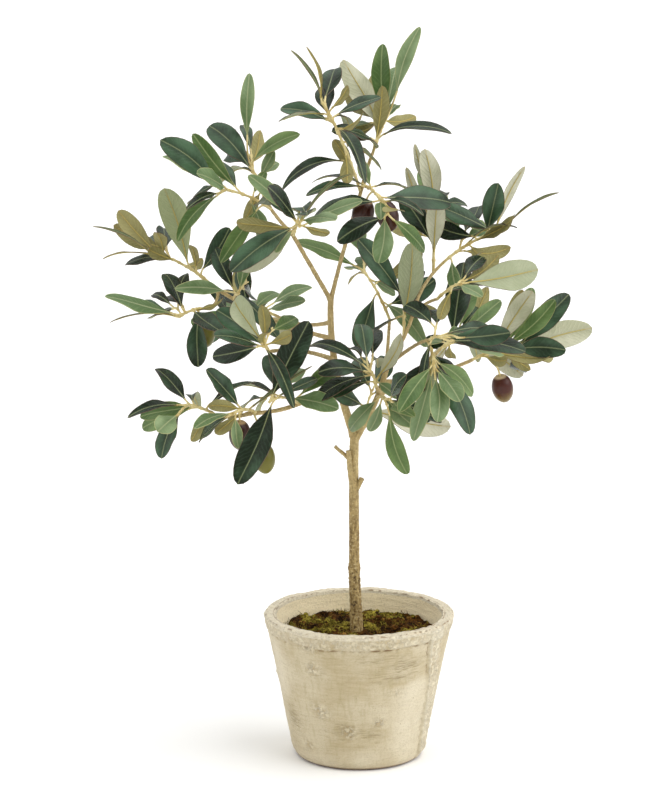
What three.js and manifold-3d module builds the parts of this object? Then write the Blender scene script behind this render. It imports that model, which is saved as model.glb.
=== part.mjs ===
// An artificial olive tree in a round pot of limewashed clay.
// Millimetres, +Z up. The origin is the centre of the pot's flat underside, and the front faces -Y.

import * as THREE from "three";
import { mergeVertices } from "three/addons/utils/BufferGeometryUtils.js";
import Module from "manifold-3d";

const wasm = await Module();
wasm.setup();

// Pot
const rimRadius = 80;
const baseRadius = 55.5;
const potHeight = 124;
const wallThickness = 9;
const floorThickness = 9;
const footRound = 6;
const lipRound = 3.5;
const roundSteps = 3;
const potFacets = 40;

// Filling, whose top is a lumpy mat of moss
const mossBelowRim = 18;
const mossLump = 1.6;
const mossLumpPitch = 19;
const mossRings = 5;
const mossWave = { phase: 0.7, second: 0.6, secondPitch: 0.6 }; // how two waves make the lumps
const calmRadius = 12; // flat round the trunk's foot
const clearance = 0.3; // between neighbouring solids

// Trunk
const trunkFoot = [-2.5, 0];
const forkPoint = [-4, 0, 278];
const flareRadius = 7.6;
const flareHeight = 14;
const lowerRadius = 5.7;
const collarRadius = 6.3;
const collarHeight = 57;
const collarLength = 5;
const upperRadius = 4.5;
const forkRadius = 3.9;
const trunkSides = 12;
const trunkSteps = 28;

// Cut-off side twigs of the trunk: height above the soil, bearing and rise in degrees, length, radius
const trunkStubs = [
  { height: 120, bearing: 8, rise: 62, length: 8, radius: 2.2 },
  { height: 147, bearing: 190, rise: 43, length: 18, radius: 1.5 },
  { height: 148, bearing: 195, rise: 73, length: 10, radius: 1.8 },
];

// Limbs: each leaves its parent at a fraction of the parent's length and ends at a point
const limbPlan = [
  { name: "leader", from: ["trunk", 1], to: [-24, 8, 392], bow: [-6, 0, 0], radii: [3.5, 2.5] },
  { name: "leader_left", from: ["leader", 1], to: [-56, -8, 451], bow: [0, 0, 0], radii: [1.9, 1.7] },
  { name: "leader_right", from: ["leader", 1], to: [3, 6, 490], bow: [-1, 0, 0], radii: [1.8, 1.6] },
  { name: "right_stem", from: ["trunk", 0.98], to: [24, -8, 343], bow: [3, 0, -2], radii: [2.9, 2.2] },
  { name: "bough_crown", from: ["leader_right", 1], to: [11, 16, 515], bow: [0, 0, 2], radii: [1.5, 1.3] },
  { name: "bough_far_left", from: ["leader", 0.72], to: [-124, 34, 400], bow: [0, 0, -6], radii: [1.9, 1.5] },
  { name: "bough_hanging", from: ["bough_far_left", 0.95], to: [-130, 2, 386], bow: [3, 0, -4], radii: [1.2, 1] },
  { name: "bough_left_centre", from: ["leader", 0.56], to: [-75, -62, 362], bow: [0, 0, 4], radii: [1.9, 1.5] },
  { name: "bough_low_left", from: ["leader", 0.4], to: [-90, -40, 306], bow: [0, 0, -7], radii: [2, 1.7] },
  { name: "bough_low_left_tip", from: ["bough_low_left", 1], to: [-118, -50, 306], bow: [0, 0, -2], radii: [1.6, 1.4] },
  { name: "bough_right_high", from: ["right_stem", 1], to: [46, 10, 384], bow: [2, 0, -2], radii: [1.7, 1.5] },
  { name: "bough_right_top", from: ["bough_right_high", 1], to: [69, 38, 417], bow: [-3, 0, 1], radii: [1.5, 1.3] },
  { name: "bough_right_mid", from: ["bough_right_high", 0.92], to: [64, -30, 400], bow: [0, 0, 2], radii: [1.4, 1.2] },
  { name: "bough_right_front", from: ["right_stem", 0.94], to: [57, -62, 372], bow: [3, 0, 5], radii: [1.6, 1.3] },
  { name: "bough_far_right", from: ["right_stem", 0.76], to: [95, 14, 340], bow: [0, 0, -4], radii: [1.9, 1.5] },
  { name: "bough_centre", from: ["right_stem", 0.66], to: [14, -24, 325], bow: [0, 0, -2], radii: [1.8, 1.5] },
  { name: "bough_inner_back", from: ["right_stem", 0.87], to: [26, 50, 368], bow: [0, 0, -3], radii: [1.6, 1.3] },
  { name: "bough_back_right", from: ["right_stem", 0.6], to: [70, 80, 336], bow: [0, 0, -5], radii: [1.8, 1.4] },
  { name: "bough_back_left", from: ["leader", 0.84], to: [-72, 80, 366], bow: [0, 0, -5], radii: [1.8, 1.4] },
  { name: "bough_left_high", from: ["leader_left", 1], to: [-80, 40, 473], bow: [0, 0, -2], radii: [1.6, 1.4] },
];
const limbSides = 7;
const limbSteps = 5;

// Kinds of leaf: blade length and width, droop and fold, the stalk before the blade,
// how far it is rolled about its length in degrees, whether its underside faces the front,
// and whether its top is turned to the sky instead, so that its droop shows
const leafKinds = {
  broad: { length: 67, width: 23, droop: 0.1, fold: 10, stalk: 8, roll: 16 },
  dark: { length: 43, width: 18, droop: 0.14, fold: 14, stalk: 7, roll: 26 },
  arched: { length: 58, width: 13, droop: 0.5, fold: 20, stalk: 8, roll: 22, skyward: true },
  slim: { length: 44, width: 11, droop: 0.3, fold: 22, stalk: 7, roll: 25, skyward: true },
  green: { length: 58, width: 16, droop: 0.12, fold: 14, stalk: 9, roll: 20 },
  light: { length: 53, width: 14.5, droop: 0.1, fold: 14, stalk: 11, roll: 18 },
  wand: { length: 58, width: 14, droop: 0.08, fold: 16, stalk: 24, roll: 14 },
  oval: { length: 41, width: 19, droop: 0.1, fold: 12, stalk: 8, roll: 16 },
  bud: { length: 26, width: 11, droop: 0.1, fold: 15, stalk: 6, roll: 20 },
  young: { length: 58, width: 4.6, droop: 0.22, fold: 30, stalk: 5, roll: 30, skyward: true },
  turned: { length: 64, width: 24, droop: 0.08, fold: 9, stalk: 7, roll: 15, under: true },
  silver: { length: 55, width: 18, droop: 0.08, fold: 10, stalk: 7, roll: 16, under: true },
  sliver: { length: 52, width: 8.5, droop: 0.12, fold: 12, stalk: 8, roll: 22, under: true },
  ochre: { length: 48, width: 16, droop: 0.16, fold: 12, stalk: 7, roll: 22, under: true },
  curled: { length: 27, width: 11, droop: 0.22, fold: 18, stalk: 6, roll: 32, under: true },
};
const oliveStalks = { olive: 9, hanging_olive: 27 };
const oliveStalkSpread = [0.85, 1.1]; // of the stalk's length
const oliveHang = { lean: 0.35, out: 0.7, down: 0.5, bend: 0.75, shoulder: 0.15 }; // shares of the stalk
const oliveStalkSteps = 2;
const oliveRadius = 9.2;
const oliveLength = 26;
const oliveSides = 8;
const oliveRings = 5;

// Masses of foliage: where the stem leaves its limb, where it ends, and its leaves from the foot up,
// each with its kind and the way it sets out as seen from the front (degrees, 0 right and 90 up).
// "more" leaves point to the back and the front by the seeded rule alone.
const massPlan = [
  {
    name: "foliage_crown_tip", from: ["leader_right", 0.93], tip: [-31, -22, 561], seed: 11, more: 2,
    leaves: [["curled", 117], ["arched", 172], ["curled", 272], ["slim", 340], ["curled", 20], ["dark", 158],
      ["slim", 168], ["young", 113], ["young", 95]],
  },
  {
    name: "foliage_crown_top", from: ["bough_crown", 1], tip: [22, 30, 541], seed: 12, more: 1,
    leaves: [["ochre", 84], ["arched", 34], ["green", 144], ["turned", 117], ["green", 104], ["light", 88],
      ["wand", 78]],
  },
  {
    name: "foliage_crown_front", from: ["leader_right", 0.985], tip: [22, -62, 476], seed: 13, more: 1,
    leaves: [["slim", 172], ["slim", 15], ["bud", 105], ["olive", 215], ["olive", 340], ["broad", 355],
      ["broad", 193], ["olive", 300], ["oval", 258], ["green", 319]],
  },
  {
    name: "foliage_left_knot", from: ["leader_left", 0.96], tip: [-49, -72, 467], seed: 14, more: 1,
    leaves: [["silver", 225], ["ochre", 184], ["slim", 205], ["broad", 214], ["dark", 128], ["curled", 340],
      ["light", 135], ["light", 26]],
  },
  {
    name: "foliage_left_crest", from: ["bough_left_high", 0.72], tip: [-115, 16, 484], seed: 15, more: 1,
    leaves: [["green", 235], ["bud", 65], ["green", 125], ["light", 148], ["broad", 122]],
  },
  {
    name: "foliage_left_high", from: ["bough_left_high", 1], tip: [-93, 66, 499], seed: 16, more: 2,
    leaves: [["curled", 250], ["bud", 62], ["broad", 140], ["green", 137], ["wand", 87]],
  },
  {
    name: "foliage_far_left", from: ["bough_far_left", 1], tip: [-173, 44, 425], seed: 17, more: 1,
    leaves: [["dark", 310], ["curled", 85], ["turned", 108], ["dark", 40], ["curled", 150], ["dark", 176],
      ["curled", 96], ["ochre", 135], ["young", 142]],
  },
  {
    name: "foliage_left_bough", from: ["bough_far_left", 0.82], tip: [-101, 8, 398], seed: 35, more: 1,
    leaves: [["dark", 328], ["dark", 318], ["bud", 80]],
  },
  {
    name: "foliage_hanging", from: ["bough_hanging", 1], tip: [-150, -14, 382], seed: 18, more: 1,
    leaves: [["dark", 285], ["olive", 300], ["curled", 10], ["olive", 250], ["dark", 110], ["light", 148],
      ["slim", 150]],
  },
  {
    name: "foliage_left_centre", from: ["bough_left_centre", 1], tip: [-78, -96, 373], seed: 19, more: 2,
    leaves: [["dark", 142], ["turned", 131], ["curled", 90], ["dark", 150]],
  },
  {
    name: "foliage_low_left_inner", from: ["bough_low_left", 0.46], tip: [-74, -72, 322], seed: 20, more: 0,
    leaves: [["green", 24], ["oval", 357], ["slim", 160], ["broad", 243], ["broad", 67]],
  },
  {
    name: "foliage_low_left", from: ["bough_low_left", 0.94], tip: [-104, -76, 313], seed: 21, more: 1,
    leaves: [["hanging_olive", 300], ["young", 40], ["curled", 178], ["dark", 122], ["olive", 275], ["bud", 275],
      ["dark", 215]],
  },
  {
    name: "foliage_low_left_tip", from: ["bough_low_left_tip", 1], tip: [-146, -60, 317], seed: 22, more: 1,
    leaves: [["curled", 250], ["slim", 15], ["oval", 176], ["broad", 183], ["dark", 130], ["slim", 178],
      ["light", 168]],
  },
  {
    name: "foliage_far_right", from: ["bough_far_right", 1], tip: [134, 26, 346], seed: 27, more: 2,
    leaves: [["curled", 355], ["hanging_olive", 320], ["ochre", 350], ["bud", 296], ["green", 68], ["dark", 10],
      ["broad", 46], ["turned", 17]],
  },
  {
    name: "foliage_inner_right", from: ["bough_right_high", 0.5], tip: [38, 24, 388], seed: 31, more: 1,
    leaves: [["silver", 92], ["turned", 42], ["slim", 205], ["curled", 350], ["slim", 62], ["broad", 112]],
  },
  {
    name: "foliage_inner_back", from: ["bough_inner_back", 1], tip: [3, 76, 406], seed: 32, more: 2,
    leaves: [["dark", 30], ["dark", 246], ["bud", 330], ["green", 153]],
  },
  {
    name: "foliage_centre_left", from: ["bough_centre", 1], tip: [8, -56, 345], seed: 23, more: 1,
    leaves: [["dark", 184], ["slim", 160], ["dark", 172], ["arched", 152]],
  },
  {
    name: "foliage_fork", from: ["right_stem", 0.3], tip: [6, 22, 296], seed: 36, more: 1,
    leaves: [["curled", 20], ["turned", 341]],
  },
  {
    name: "foliage_low_front", from: ["right_stem", 0.56], tip: [22, -58, 317], seed: 24, more: 0,
    leaves: [["dark", 340], ["oval", 221], ["slim", 350], ["green", 289]],
  },
  {
    name: "foliage_right_front", from: ["bough_right_front", 1], tip: [68, -92, 378], seed: 25, more: 1,
    leaves: [["slim", 250], ["arched", 22], ["broad", 357]],
  },
  {
    name: "foliage_low_right", from: ["bough_right_front", 0.9], tip: [60, -78, 358], seed: 26, more: 1,
    leaves: [["slim", 170], ["broad", 71], ["bud", 92], ["dark", 304], ["dark", 240], ["green", 313], ["light", 254]],
  },
  {
    name: "foliage_right_mid", from: ["bough_right_mid", 1], tip: [83, -48, 416], seed: 28, more: 1,
    leaves: [["slim", 22], ["curled", 250], ["turned", 0]],
  },
  {
    name: "foliage_right_tip", from: ["bough_right_top", 1], tip: [117, 48, 443], seed: 29, more: 2,
    leaves: [["bud", 280], ["ochre", 350], ["slim", 48], ["ochre", 24], ["dark", 168], ["dark", 80],
      ["sliver", 68], ["young", 45]],
  },
  {
    name: "foliage_right_crest", from: ["bough_right_top", 0.8], tip: [64, 62, 462], seed: 30, more: 2,
    leaves: [["silver", 96], ["sliver", 112], ["silver", 101], ["sliver", 108]],
  },
  {
    name: "foliage_back_left", from: ["bough_back_left", 1], tip: [-104, 110, 360], seed: 33, more: 4,
    leaves: [["dark", 155], ["green", 195], ["silver", 335], ["dark", 215]],
  },
  {
    name: "foliage_back_right", from: ["bough_back_right", 1], tip: [98, 108, 342], seed: 34, more: 4,
    leaves: [["dark", 10], ["green", 50], ["silver", 330], ["dark", 190]],
  },
];
const stemRadii = [1.3, 0.9];
const stalkRadii = [0.9, 0.75];
const twigSides = 3;
const stemSteps = 3;
const firstNode = 0.15; // of the stem's length, where its first leaf stands
const stemBow = 0.08; // of the stem's length, how far it sags or lifts
const aimSpread = 5; // degrees either side of a leaf's own way
const aimWiden = 0.5; // how much the spread grows with each new try
const depthTilt = [5, 40]; // degrees out of the front view, to the front or the back
const fillTilt = [42, 78];
const tries = 16;
const sizeSpread = 0.1;
const rollShare = [0.3, 1]; // of a kind's roll
const stalkWays = [0.3, 0.8]; // of a leaf's stalk, along the stem and along the leaf
const spaceOverlap = 40; // how much nearer a leaf may come to another mass's stem than to its own
const leafGap = 1.6;
const twigGap = 1.2;
const stalkGap = 3.6;
const leafReach = 4; // beyond half the length of two leaves, past which they can't meet
const rootZone = 9; // round a leaf's root, where its own twig may stand
const twigPitch = 4; // between the points of a twig that are looked at
const stalkSunk = 3; // of an olive's stalk inside it
const bladeRings = [0, 0.22, 0.56, 0.9];
const bladeThickness = 0.02; // of the blade's length
const bladeSkew = 1.28; // widest past the middle
const bladeBlunt = 0.66;
const checkSteps = 8;
const frontward = new THREE.Vector3(0, -0.8, 0.6); // what most blades turn their top or underside to
const skyward = new THREE.Vector3(0, -0.35, 0.94);
const mergeDistance = 0.02;

const radians = THREE.MathUtils.degToRad;
const vector = (xyz) => new THREE.Vector3(...xyz);

// Draws between 0 and 1 from a seed.
class Draws {
  constructor(seed) {
    this.state = seed;
  }
  next() {
    this.state = (Math.imul(this.state, 1664525) + 1013904223) >>> 0;
    return this.state / 4294967296;
  }
  between(low, high) {
    return low + (high - low) * this.next();
  }
}

// Closed solids from points and triangles

function solidFrom(points, triangles) {
  return new wasm.Manifold(
    new wasm.Mesh({
      numProp: 3,
      vertProperties: new Float32Array(points.flatMap((p) => [p.x, p.y, p.z])),
      triVerts: new Uint32Array(triangles.flat()),
    }),
  );
}

function solidFromGeometry(geometry) {
  const bare = new THREE.BufferGeometry().setAttribute("position", geometry.getAttribute("position"));
  const merged = mergeVertices(bare.setIndex(geometry.index), 1e-4);
  return new wasm.Manifold(
    new wasm.Mesh({
      numProp: 3,
      vertProperties: merged.attributes.position.array,
      triVerts: new Uint32Array(merged.index.array),
    }),
  );
}

// Rings of equal count, joined in order and closed at both ends.
function loft(rings, endPoint) {
  const sides = rings[0].length;
  const points = rings.flat();
  const triangles = [];
  for (let k = 0; k + 1 < rings.length; k++) {
    for (let j = 0; j < sides; j++) {
      const a = k * sides + j;
      const b = k * sides + ((j + 1) % sides);
      triangles.push([a, b, b + sides], [a, b + sides, a + sides]);
    }
  }
  for (let j = 1; j + 1 < sides; j++) triangles.push([0, j + 1, j]);
  const last = points.length - sides;
  if (endPoint) {
    points.push(endPoint);
    for (let j = 0; j < sides; j++) triangles.push([last + j, last + ((j + 1) % sides), points.length - 1]);
  } else {
    for (let j = 1; j + 1 < sides; j++) triangles.push([last, last + j, last + j + 1]);
  }
  return solidFrom(points, triangles);
}

// A tube along a curve, its radius given at each fraction of the length.
function tube(curve, radiusAt, sides, steps) {
  const chord = curve.getPoint(1).sub(curve.getPoint(0)).normalize();
  const reference = Math.abs(chord.x) < 0.7 ? new THREE.Vector3(1, 0, 0) : new THREE.Vector3(0, 1, 0);
  const rings = [];
  for (let k = 0; k <= steps; k++) {
    const centre = curve.getPoint(k / steps);
    const along = curve.getTangent(k / steps);
    const side = new THREE.Vector3().crossVectors(along, reference).normalize();
    const other = new THREE.Vector3().crossVectors(along, side);
    const radius = radiusAt(k / steps);
    const ring = [];
    for (let j = 0; j < sides; j++) {
      const angle = (2 * Math.PI * j) / sides;
      ring.push(
        centre.clone().addScaledVector(side, radius * Math.cos(angle)).addScaledVector(other, radius * Math.sin(angle)),
      );
    }
    rings.push(ring);
  }
  return loft(rings);
}

// A curve from one point to another, its middle pushed off the straight line by the bow.
function bowed(start, end, bow) {
  const control = start.clone().add(end).multiplyScalar(0.5).addScaledVector(bow, 2);
  return new THREE.QuadraticBezierCurve3(start, control, end);
}

function directionOf(bearing, rise) {
  const flat = Math.cos(radians(rise));
  return new THREE.Vector3(
    flat * Math.cos(radians(bearing)),
    flat * Math.sin(radians(bearing)),
    Math.sin(radians(rise)),
  );
}

// Fusing seals a hollow or leaves a scrap now and then: only the largest body is kept.
function largestBody(solid) {
  const bodies = solid.simplify(mergeDistance).decompose();
  return bodies.reduce((best, body) => (body.volume() > best.volume() ? body : best));
}

// The pot and its filling

function arc(centreRadius, centreHeight, radius, fromDegrees, toDegrees) {
  const points = [];
  for (let k = 0; k <= roundSteps; k++) {
    const angle = radians(fromDegrees + ((toDegrees - fromDegrees) * k) / roundSteps);
    points.push(new THREE.Vector2(centreRadius + radius * Math.cos(angle), centreHeight + radius * Math.sin(angle)));
  }
  return points;
}

// The pot's outer radius at a height, on its straight wall.
const outerRadiusAt = (z) => baseRadius + ((rimRadius - baseRadius) * z) / potHeight;
const innerRadiusAt = (z) => outerRadiusAt(z) - wallThickness;
const wallLean = THREE.MathUtils.radToDeg(Math.atan2(rimRadius - baseRadius, potHeight));

function turned(profile) {
  return solidFromGeometry(new THREE.LatheGeometry(profile, potFacets).rotateX(Math.PI / 2));
}

function makePot() {
  const profile = [
    new THREE.Vector2(0, 0),
    ...arc(baseRadius - footRound, footRound, footRound, -90, -wallLean),
    ...arc(rimRadius - lipRound, potHeight - lipRound, lipRound, 0, 90),
    ...arc(rimRadius - wallThickness + lipRound, potHeight - lipRound, lipRound, 90, 180),
    new THREE.Vector2(innerRadiusAt(floorThickness), floorThickness),
    new THREE.Vector2(0, floorThickness),
  ];
  return turned(profile);
}

const mossHeight = potHeight - mossBelowRim;

// The lumps of the moss, which die away at the wall and round the trunk.
function mossTopAt(x, y) {
  const edge = innerRadiusAt(mossHeight) - clearance;
  const radius = Math.hypot(x, y);
  const calm = THREE.MathUtils.smoothstep(Math.hypot(x - trunkFoot[0], y - trunkFoot[1]), calmRadius, 2 * calmRadius);
  const rim = 1 - THREE.MathUtils.smoothstep(radius, edge - calmRadius, edge);
  const turn = (2 * Math.PI) / mossLumpPitch;
  const { phase, second, secondPitch } = mossWave;
  const lumps = Math.sin(turn * x + phase) * Math.sin(turn * y) + second * Math.sin(secondPitch * turn * (x + y));
  return mossHeight + mossLump * lumps * calm * rim;
}

function makeFilling() {
  const bottom = floorThickness + clearance;
  const edge = innerRadiusAt(mossHeight) - clearance;
  const profile = [new THREE.Vector2(0, bottom), new THREE.Vector2(innerRadiusAt(bottom) - clearance, bottom)];
  for (let k = mossRings; k >= 0; k--) profile.push(new THREE.Vector2((edge * k) / mossRings, mossHeight));
  const geometry = new THREE.LatheGeometry(profile, potFacets / 2).rotateX(Math.PI / 2);
  const position = geometry.getAttribute("position");
  for (let k = 0; k < position.count; k++) {
    if (position.getZ(k) > mossHeight - clearance) position.setZ(k, mossTopAt(position.getX(k), position.getY(k)));
  }
  return solidFromGeometry(geometry);
}

// Trunk and limbs

const soil = new THREE.Vector3(...trunkFoot, mossHeight + clearance);
const trunkHeight = forkPoint[2] - soil.z;

function trunkRadiusAt(t) {
  const height = t * trunkHeight;
  if (height < flareHeight) {
    const low = 1 - height / flareHeight;
    return lowerRadius + (flareRadius - lowerRadius) * low * low;
  }
  const fromCollar = height - collarHeight;
  const bulge = Math.max(0, 1 - Math.abs(fromCollar) / collarLength);
  if (fromCollar < 0) return lowerRadius + (collarRadius - lowerRadius) * bulge;
  const taper = upperRadius + (forkRadius - upperRadius) * (fromCollar / (trunkHeight - collarHeight));
  return taper + (collarRadius - upperRadius) * bulge;
}

function makeLimbs() {
  const fork = vector(forkPoint);
  const lean = new THREE.Vector3(soil.x, soil.y, (soil.z + fork.z) / 2); // straight up from the soil
  const trunk = new THREE.QuadraticBezierCurve3(soil, lean, fork);
  const limbs = [{ name: "trunk", curve: trunk, radiusAt: trunkRadiusAt, sides: trunkSides, steps: trunkSteps }];
  for (const row of limbPlan) {
    const [parentName, fraction] = row.from;
    const parent = limbs.find((limb) => limb.name === parentName);
    const curve = bowed(parent.curve.getPoint(fraction), vector(row.to), vector(row.bow));
    const [foot, tip] = row.radii;
    limbs.push({
      name: row.name,
      curve,
      radiusAt: (t) => foot + (tip - foot) * t,
      sides: limbSides,
      steps: limbSteps,
    });
  }
  return limbs;
}

// A limb's solid, made larger all round and longer at both ends by the margin.
function limbSolid(limb, margin = 0) {
  let { curve } = limb;
  if (margin) {
    const foot = curve.v0.clone().addScaledVector(curve.getTangent(0), -margin);
    const end = curve.v2.clone().addScaledVector(curve.getTangent(1), margin);
    curve = new THREE.QuadraticBezierCurve3(foot, curve.v1, end);
  }
  return tube(curve, (t) => limb.radiusAt(t) + margin, limb.sides, limb.steps);
}

function stubSolid(stub) {
  const foot = limbs[0].curve.getPoint(stub.height / trunkHeight);
  const end = foot.clone().addScaledVector(directionOf(stub.bearing, stub.rise), forkRadius + stub.length);
  return tube(new THREE.LineCurve3(foot, end), () => stub.radius, limbSides, 1);
}

// Leaves, as curved blades with their own frame

function halfWidthAt(leaf, t) {
  const swell = Math.max(0, Math.sin(Math.PI * t ** bladeSkew)) ** bladeBlunt;
  return Math.max((leaf.width / 2) * swell, stalkRadii[1] * (1 - t));
}

// A point of the blade at a fraction of its length and a distance across.
function bladePoint(leaf, t, across) {
  const height = Math.abs(across) * leaf.foldSlope - leaf.droop * leaf.length * t * t;
  return leaf.root
    .clone()
    .addScaledVector(leaf.along, leaf.length * t)
    .addScaledVector(leaf.side, across)
    .addScaledVector(leaf.top, height);
}

// Where a point lies by the blade: fraction along, distance across, height over its surface.
function bladePlace(leaf, point) {
  const offset = point.clone().sub(leaf.root);
  const t = offset.dot(leaf.along) / leaf.length;
  const across = offset.dot(leaf.side);
  const surface = Math.abs(across) * leaf.foldSlope - leaf.droop * leaf.length * t * Math.abs(t);
  return { t, across, height: offset.dot(leaf.top) - surface };
}

function overBlade(leaf, place, margin) {
  const ends = margin / leaf.length;
  if (place.t < -ends || place.t > 1 + ends) return false;
  const t = THREE.MathUtils.clamp(place.t, 0, 1);
  return Math.abs(place.across) < halfWidthAt(leaf, t) + margin;
}

function makeLeaf(kindName, node, stemDirection, direction, draws) {
  const kind = leafKinds[kindName];
  const size = 1 + draws.between(-sizeSpread, sizeSpread);
  const rollSide = draws.next() < 0.5 ? -1 : 1;
  const roll = rollSide * radians(kind.roll * draws.between(...rollShare));
  const stalkEnd = node
    .clone()
    .addScaledVector(stemDirection, stalkWays[0] * kind.stalk)
    .addScaledVector(direction, stalkWays[1] * kind.stalk);
  const facing = kind.skyward ? skyward : frontward;
  const side = new THREE.Vector3().crossVectors(facing, direction).normalize();
  side.applyAxisAngle(direction, roll);
  if (kind.under) side.negate();
  const leaf = {
    kind: kindName,
    length: kind.length * size,
    width: kind.width * size,
    droop: kind.droop,
    foldSlope: Math.tan(radians(kind.fold)),
    root: stalkEnd,
    along: direction,
    side,
    top: new THREE.Vector3().crossVectors(direction, side),
  };
  leaf.stalk = new THREE.LineCurve3(node, stalkEnd);
  leaf.middle = bladePoint(leaf, 0.5, 0);
  leaf.rails = [-1, 0, 1].map((rail) => {
    const line = [];
    for (let k = 0; k <= checkSteps; k++) {
      const t = k / checkSteps;
      line.push(bladePoint(leaf, t, rail * halfWidthAt(leaf, t)));
    }
    return line;
  });
  return leaf;
}

// The stalk, from inside the stem, and the blade as one body.
function leafSolid(leaf) {
  const half = (bladeThickness * leaf.length) / 2;
  const [foot, end] = stalkRadii;
  const ringAt = (centre, left, right, thick) => [
    left,
    centre.clone().addScaledVector(leaf.top, thick),
    right,
    centre.clone().addScaledVector(leaf.top, -thick),
  ];
  const node = leaf.stalk.v1;
  const nodeEdge = (sign) => node.clone().addScaledVector(leaf.side, sign * foot);
  const rings = [ringAt(node, nodeEdge(1), nodeEdge(-1), foot)];
  for (const t of bladeRings) {
    const reach = halfWidthAt(leaf, t);
    rings.push(
      ringAt(bladePoint(leaf, t, 0), bladePoint(leaf, t, reach), bladePoint(leaf, t, -reach), t ? half : end),
    );
  }
  return loft(rings, bladePoint(leaf, 1, 0));
}

// Olives, on a stalk that hangs over

function makeOlive(kindName, node, direction, draws) {
  const { lean, out, down, bend } = oliveHang;
  const hang = new THREE.Vector3(direction.x * lean, direction.y * lean, -1).normalize();
  const reach = oliveStalks[kindName] * draws.between(...oliveStalkSpread);
  const stalkEnd = node.clone().addScaledVector(direction, out * reach).addScaledVector(hang, down * reach);
  const turnOver = node.clone().addScaledVector(direction, bend * reach);
  const sunk = stalkEnd.clone().addScaledVector(hang, stalkSunk);
  const centre = stalkEnd.clone().addScaledVector(hang, oliveLength / 2);
  return { kind: kindName, centre, hang, stalk: new THREE.QuadraticBezierCurve3(node, turnOver, sunk) };
}

function oliveSolid(olive) {
  const side = new THREE.Vector3().crossVectors(olive.hang, new THREE.Vector3(0, 1, 0)).normalize();
  const other = new THREE.Vector3().crossVectors(olive.hang, side);
  const pole = olive.centre.clone().addScaledVector(olive.hang, -oliveLength / 2);
  const rings = [];
  for (let k = 1; k < oliveRings; k++) {
    const polar = (Math.PI * k) / oliveRings;
    const ring = [];
    for (let j = 0; j < oliveSides; j++) {
      const angle = (2 * Math.PI * j) / oliveSides;
      ring.push(
        olive.centre
          .clone()
          .addScaledVector(olive.hang, (-oliveLength / 2) * Math.cos(polar))
          .addScaledVector(side, oliveRadius * Math.sin(polar) * Math.cos(angle))
          .addScaledVector(other, oliveRadius * Math.sin(polar) * Math.sin(angle)),
      );
    }
    rings.push(ring);
  }
  rings[0] = rings[0].map((point) => point.lerp(pole, oliveHang.shoulder)); // a flatter shoulder at the stalk
  return loft(rings, olive.centre.clone().addScaledVector(olive.hang, oliveLength / 2));
}

// What has grown so far, and whether a new leaf or olive is clear of it

const stemRadiusAt = (t) => stemRadii[0] + (stemRadii[1] - stemRadii[0]) * t;

function pointsAlong(curve, radiusAt, owner) {
  const count = Math.max(2, Math.ceil(curve.getLength() / twigPitch));
  const points = [];
  for (let k = 0; k <= count; k++) {
    points.push({ at: curve.getPoint(k / count), radius: radiusAt(k / count), owner });
  }
  return points;
}

function distanceToStem(mass, point) {
  const { start, end } = mass;
  const axis = end.clone().sub(start);
  const t = THREE.MathUtils.clamp(point.clone().sub(start).dot(axis) / axis.lengthSq(), 0, 1);
  return start.clone().addScaledVector(axis, t).distanceTo(point);
}

function inOwnSpace(mass, masses, points) {
  return points.every((point) => {
    const own = distanceToStem(mass, point) - spaceOverlap;
    return masses.every((other) => other === mass || own < distanceToStem(other, point));
  });
}

// One blade runs through another, or comes too close to it.
function bladesMeet(one, other) {
  for (const rail of one.rails) {
    let before = null;
    for (const point of rail) {
      const place = bladePlace(other, point);
      const over = overBlade(other, place, leafGap);
      if (over && Math.abs(place.height) < leafGap) return true;
      if (over && before && before.over && before.place.height * place.height < 0) return true;
      before = { over, place };
    }
  }
  return false;
}

function twigMeetsBlade(leaf, twigPoint) {
  const reach = twigPoint.radius + twigGap;
  const place = bladePlace(leaf, twigPoint.at);
  return overBlade(leaf, place, reach) && Math.abs(place.height) < reach;
}

function leafFits(leaf, mass, masses, grown) {
  if (!inOwnSpace(mass, masses, leaf.rails[1])) return false;
  for (const other of grown.leaves) {
    if (leaf.middle.distanceTo(other.middle) > (leaf.length + other.length) / 2 + leafReach) continue;
    if (bladesMeet(leaf, other) || bladesMeet(other, leaf)) return false;
  }
  const ownTwig = (twigPoint) => twigPoint.owner === mass.name && twigPoint.at.distanceTo(leaf.root) < rootZone;
  if (grown.twigs.some((twigPoint) => !ownTwig(twigPoint) && twigMeetsBlade(leaf, twigPoint))) return false;
  if (grown.olives.some((olive) => twigMeetsBlade(leaf, { at: olive.centre, radius: oliveRadius }))) return false;
  return stalkFits(leaf.stalk, mass, grown);
}

function stalkFits(stalk, mass, grown) {
  const stalkPoints = pointsAlong(stalk, () => stalkRadii[0], mass.name).slice(1);
  return stalkPoints.every(
    (point) =>
      grown.leaves.every((leaf) => !twigMeetsBlade(leaf, point)) &&
      grown.twigs.every(
        (twig) => twig.owner === mass.name || twig.at.distanceTo(point.at) > twig.radius + point.radius + stalkGap,
      ) &&
      grown.olives.every((olive) => olive.centre.distanceTo(point.at) > oliveLength / 2 + point.radius),
  );
}

function oliveFits(olive, mass, grown) {
  const body = { at: olive.centre, radius: oliveLength / 2 };
  return (
    grown.leaves.every((leaf) => !twigMeetsBlade(leaf, body)) &&
    grown.twigs.every((twig) => twig.at.distanceTo(olive.centre) > twig.radius + oliveLength / 2) &&
    grown.olives.every((other) => other.centre.distanceTo(olive.centre) > oliveLength + twigGap) &&
    stalkFits(olive.stalk, mass, grown)
  );
}

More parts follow.
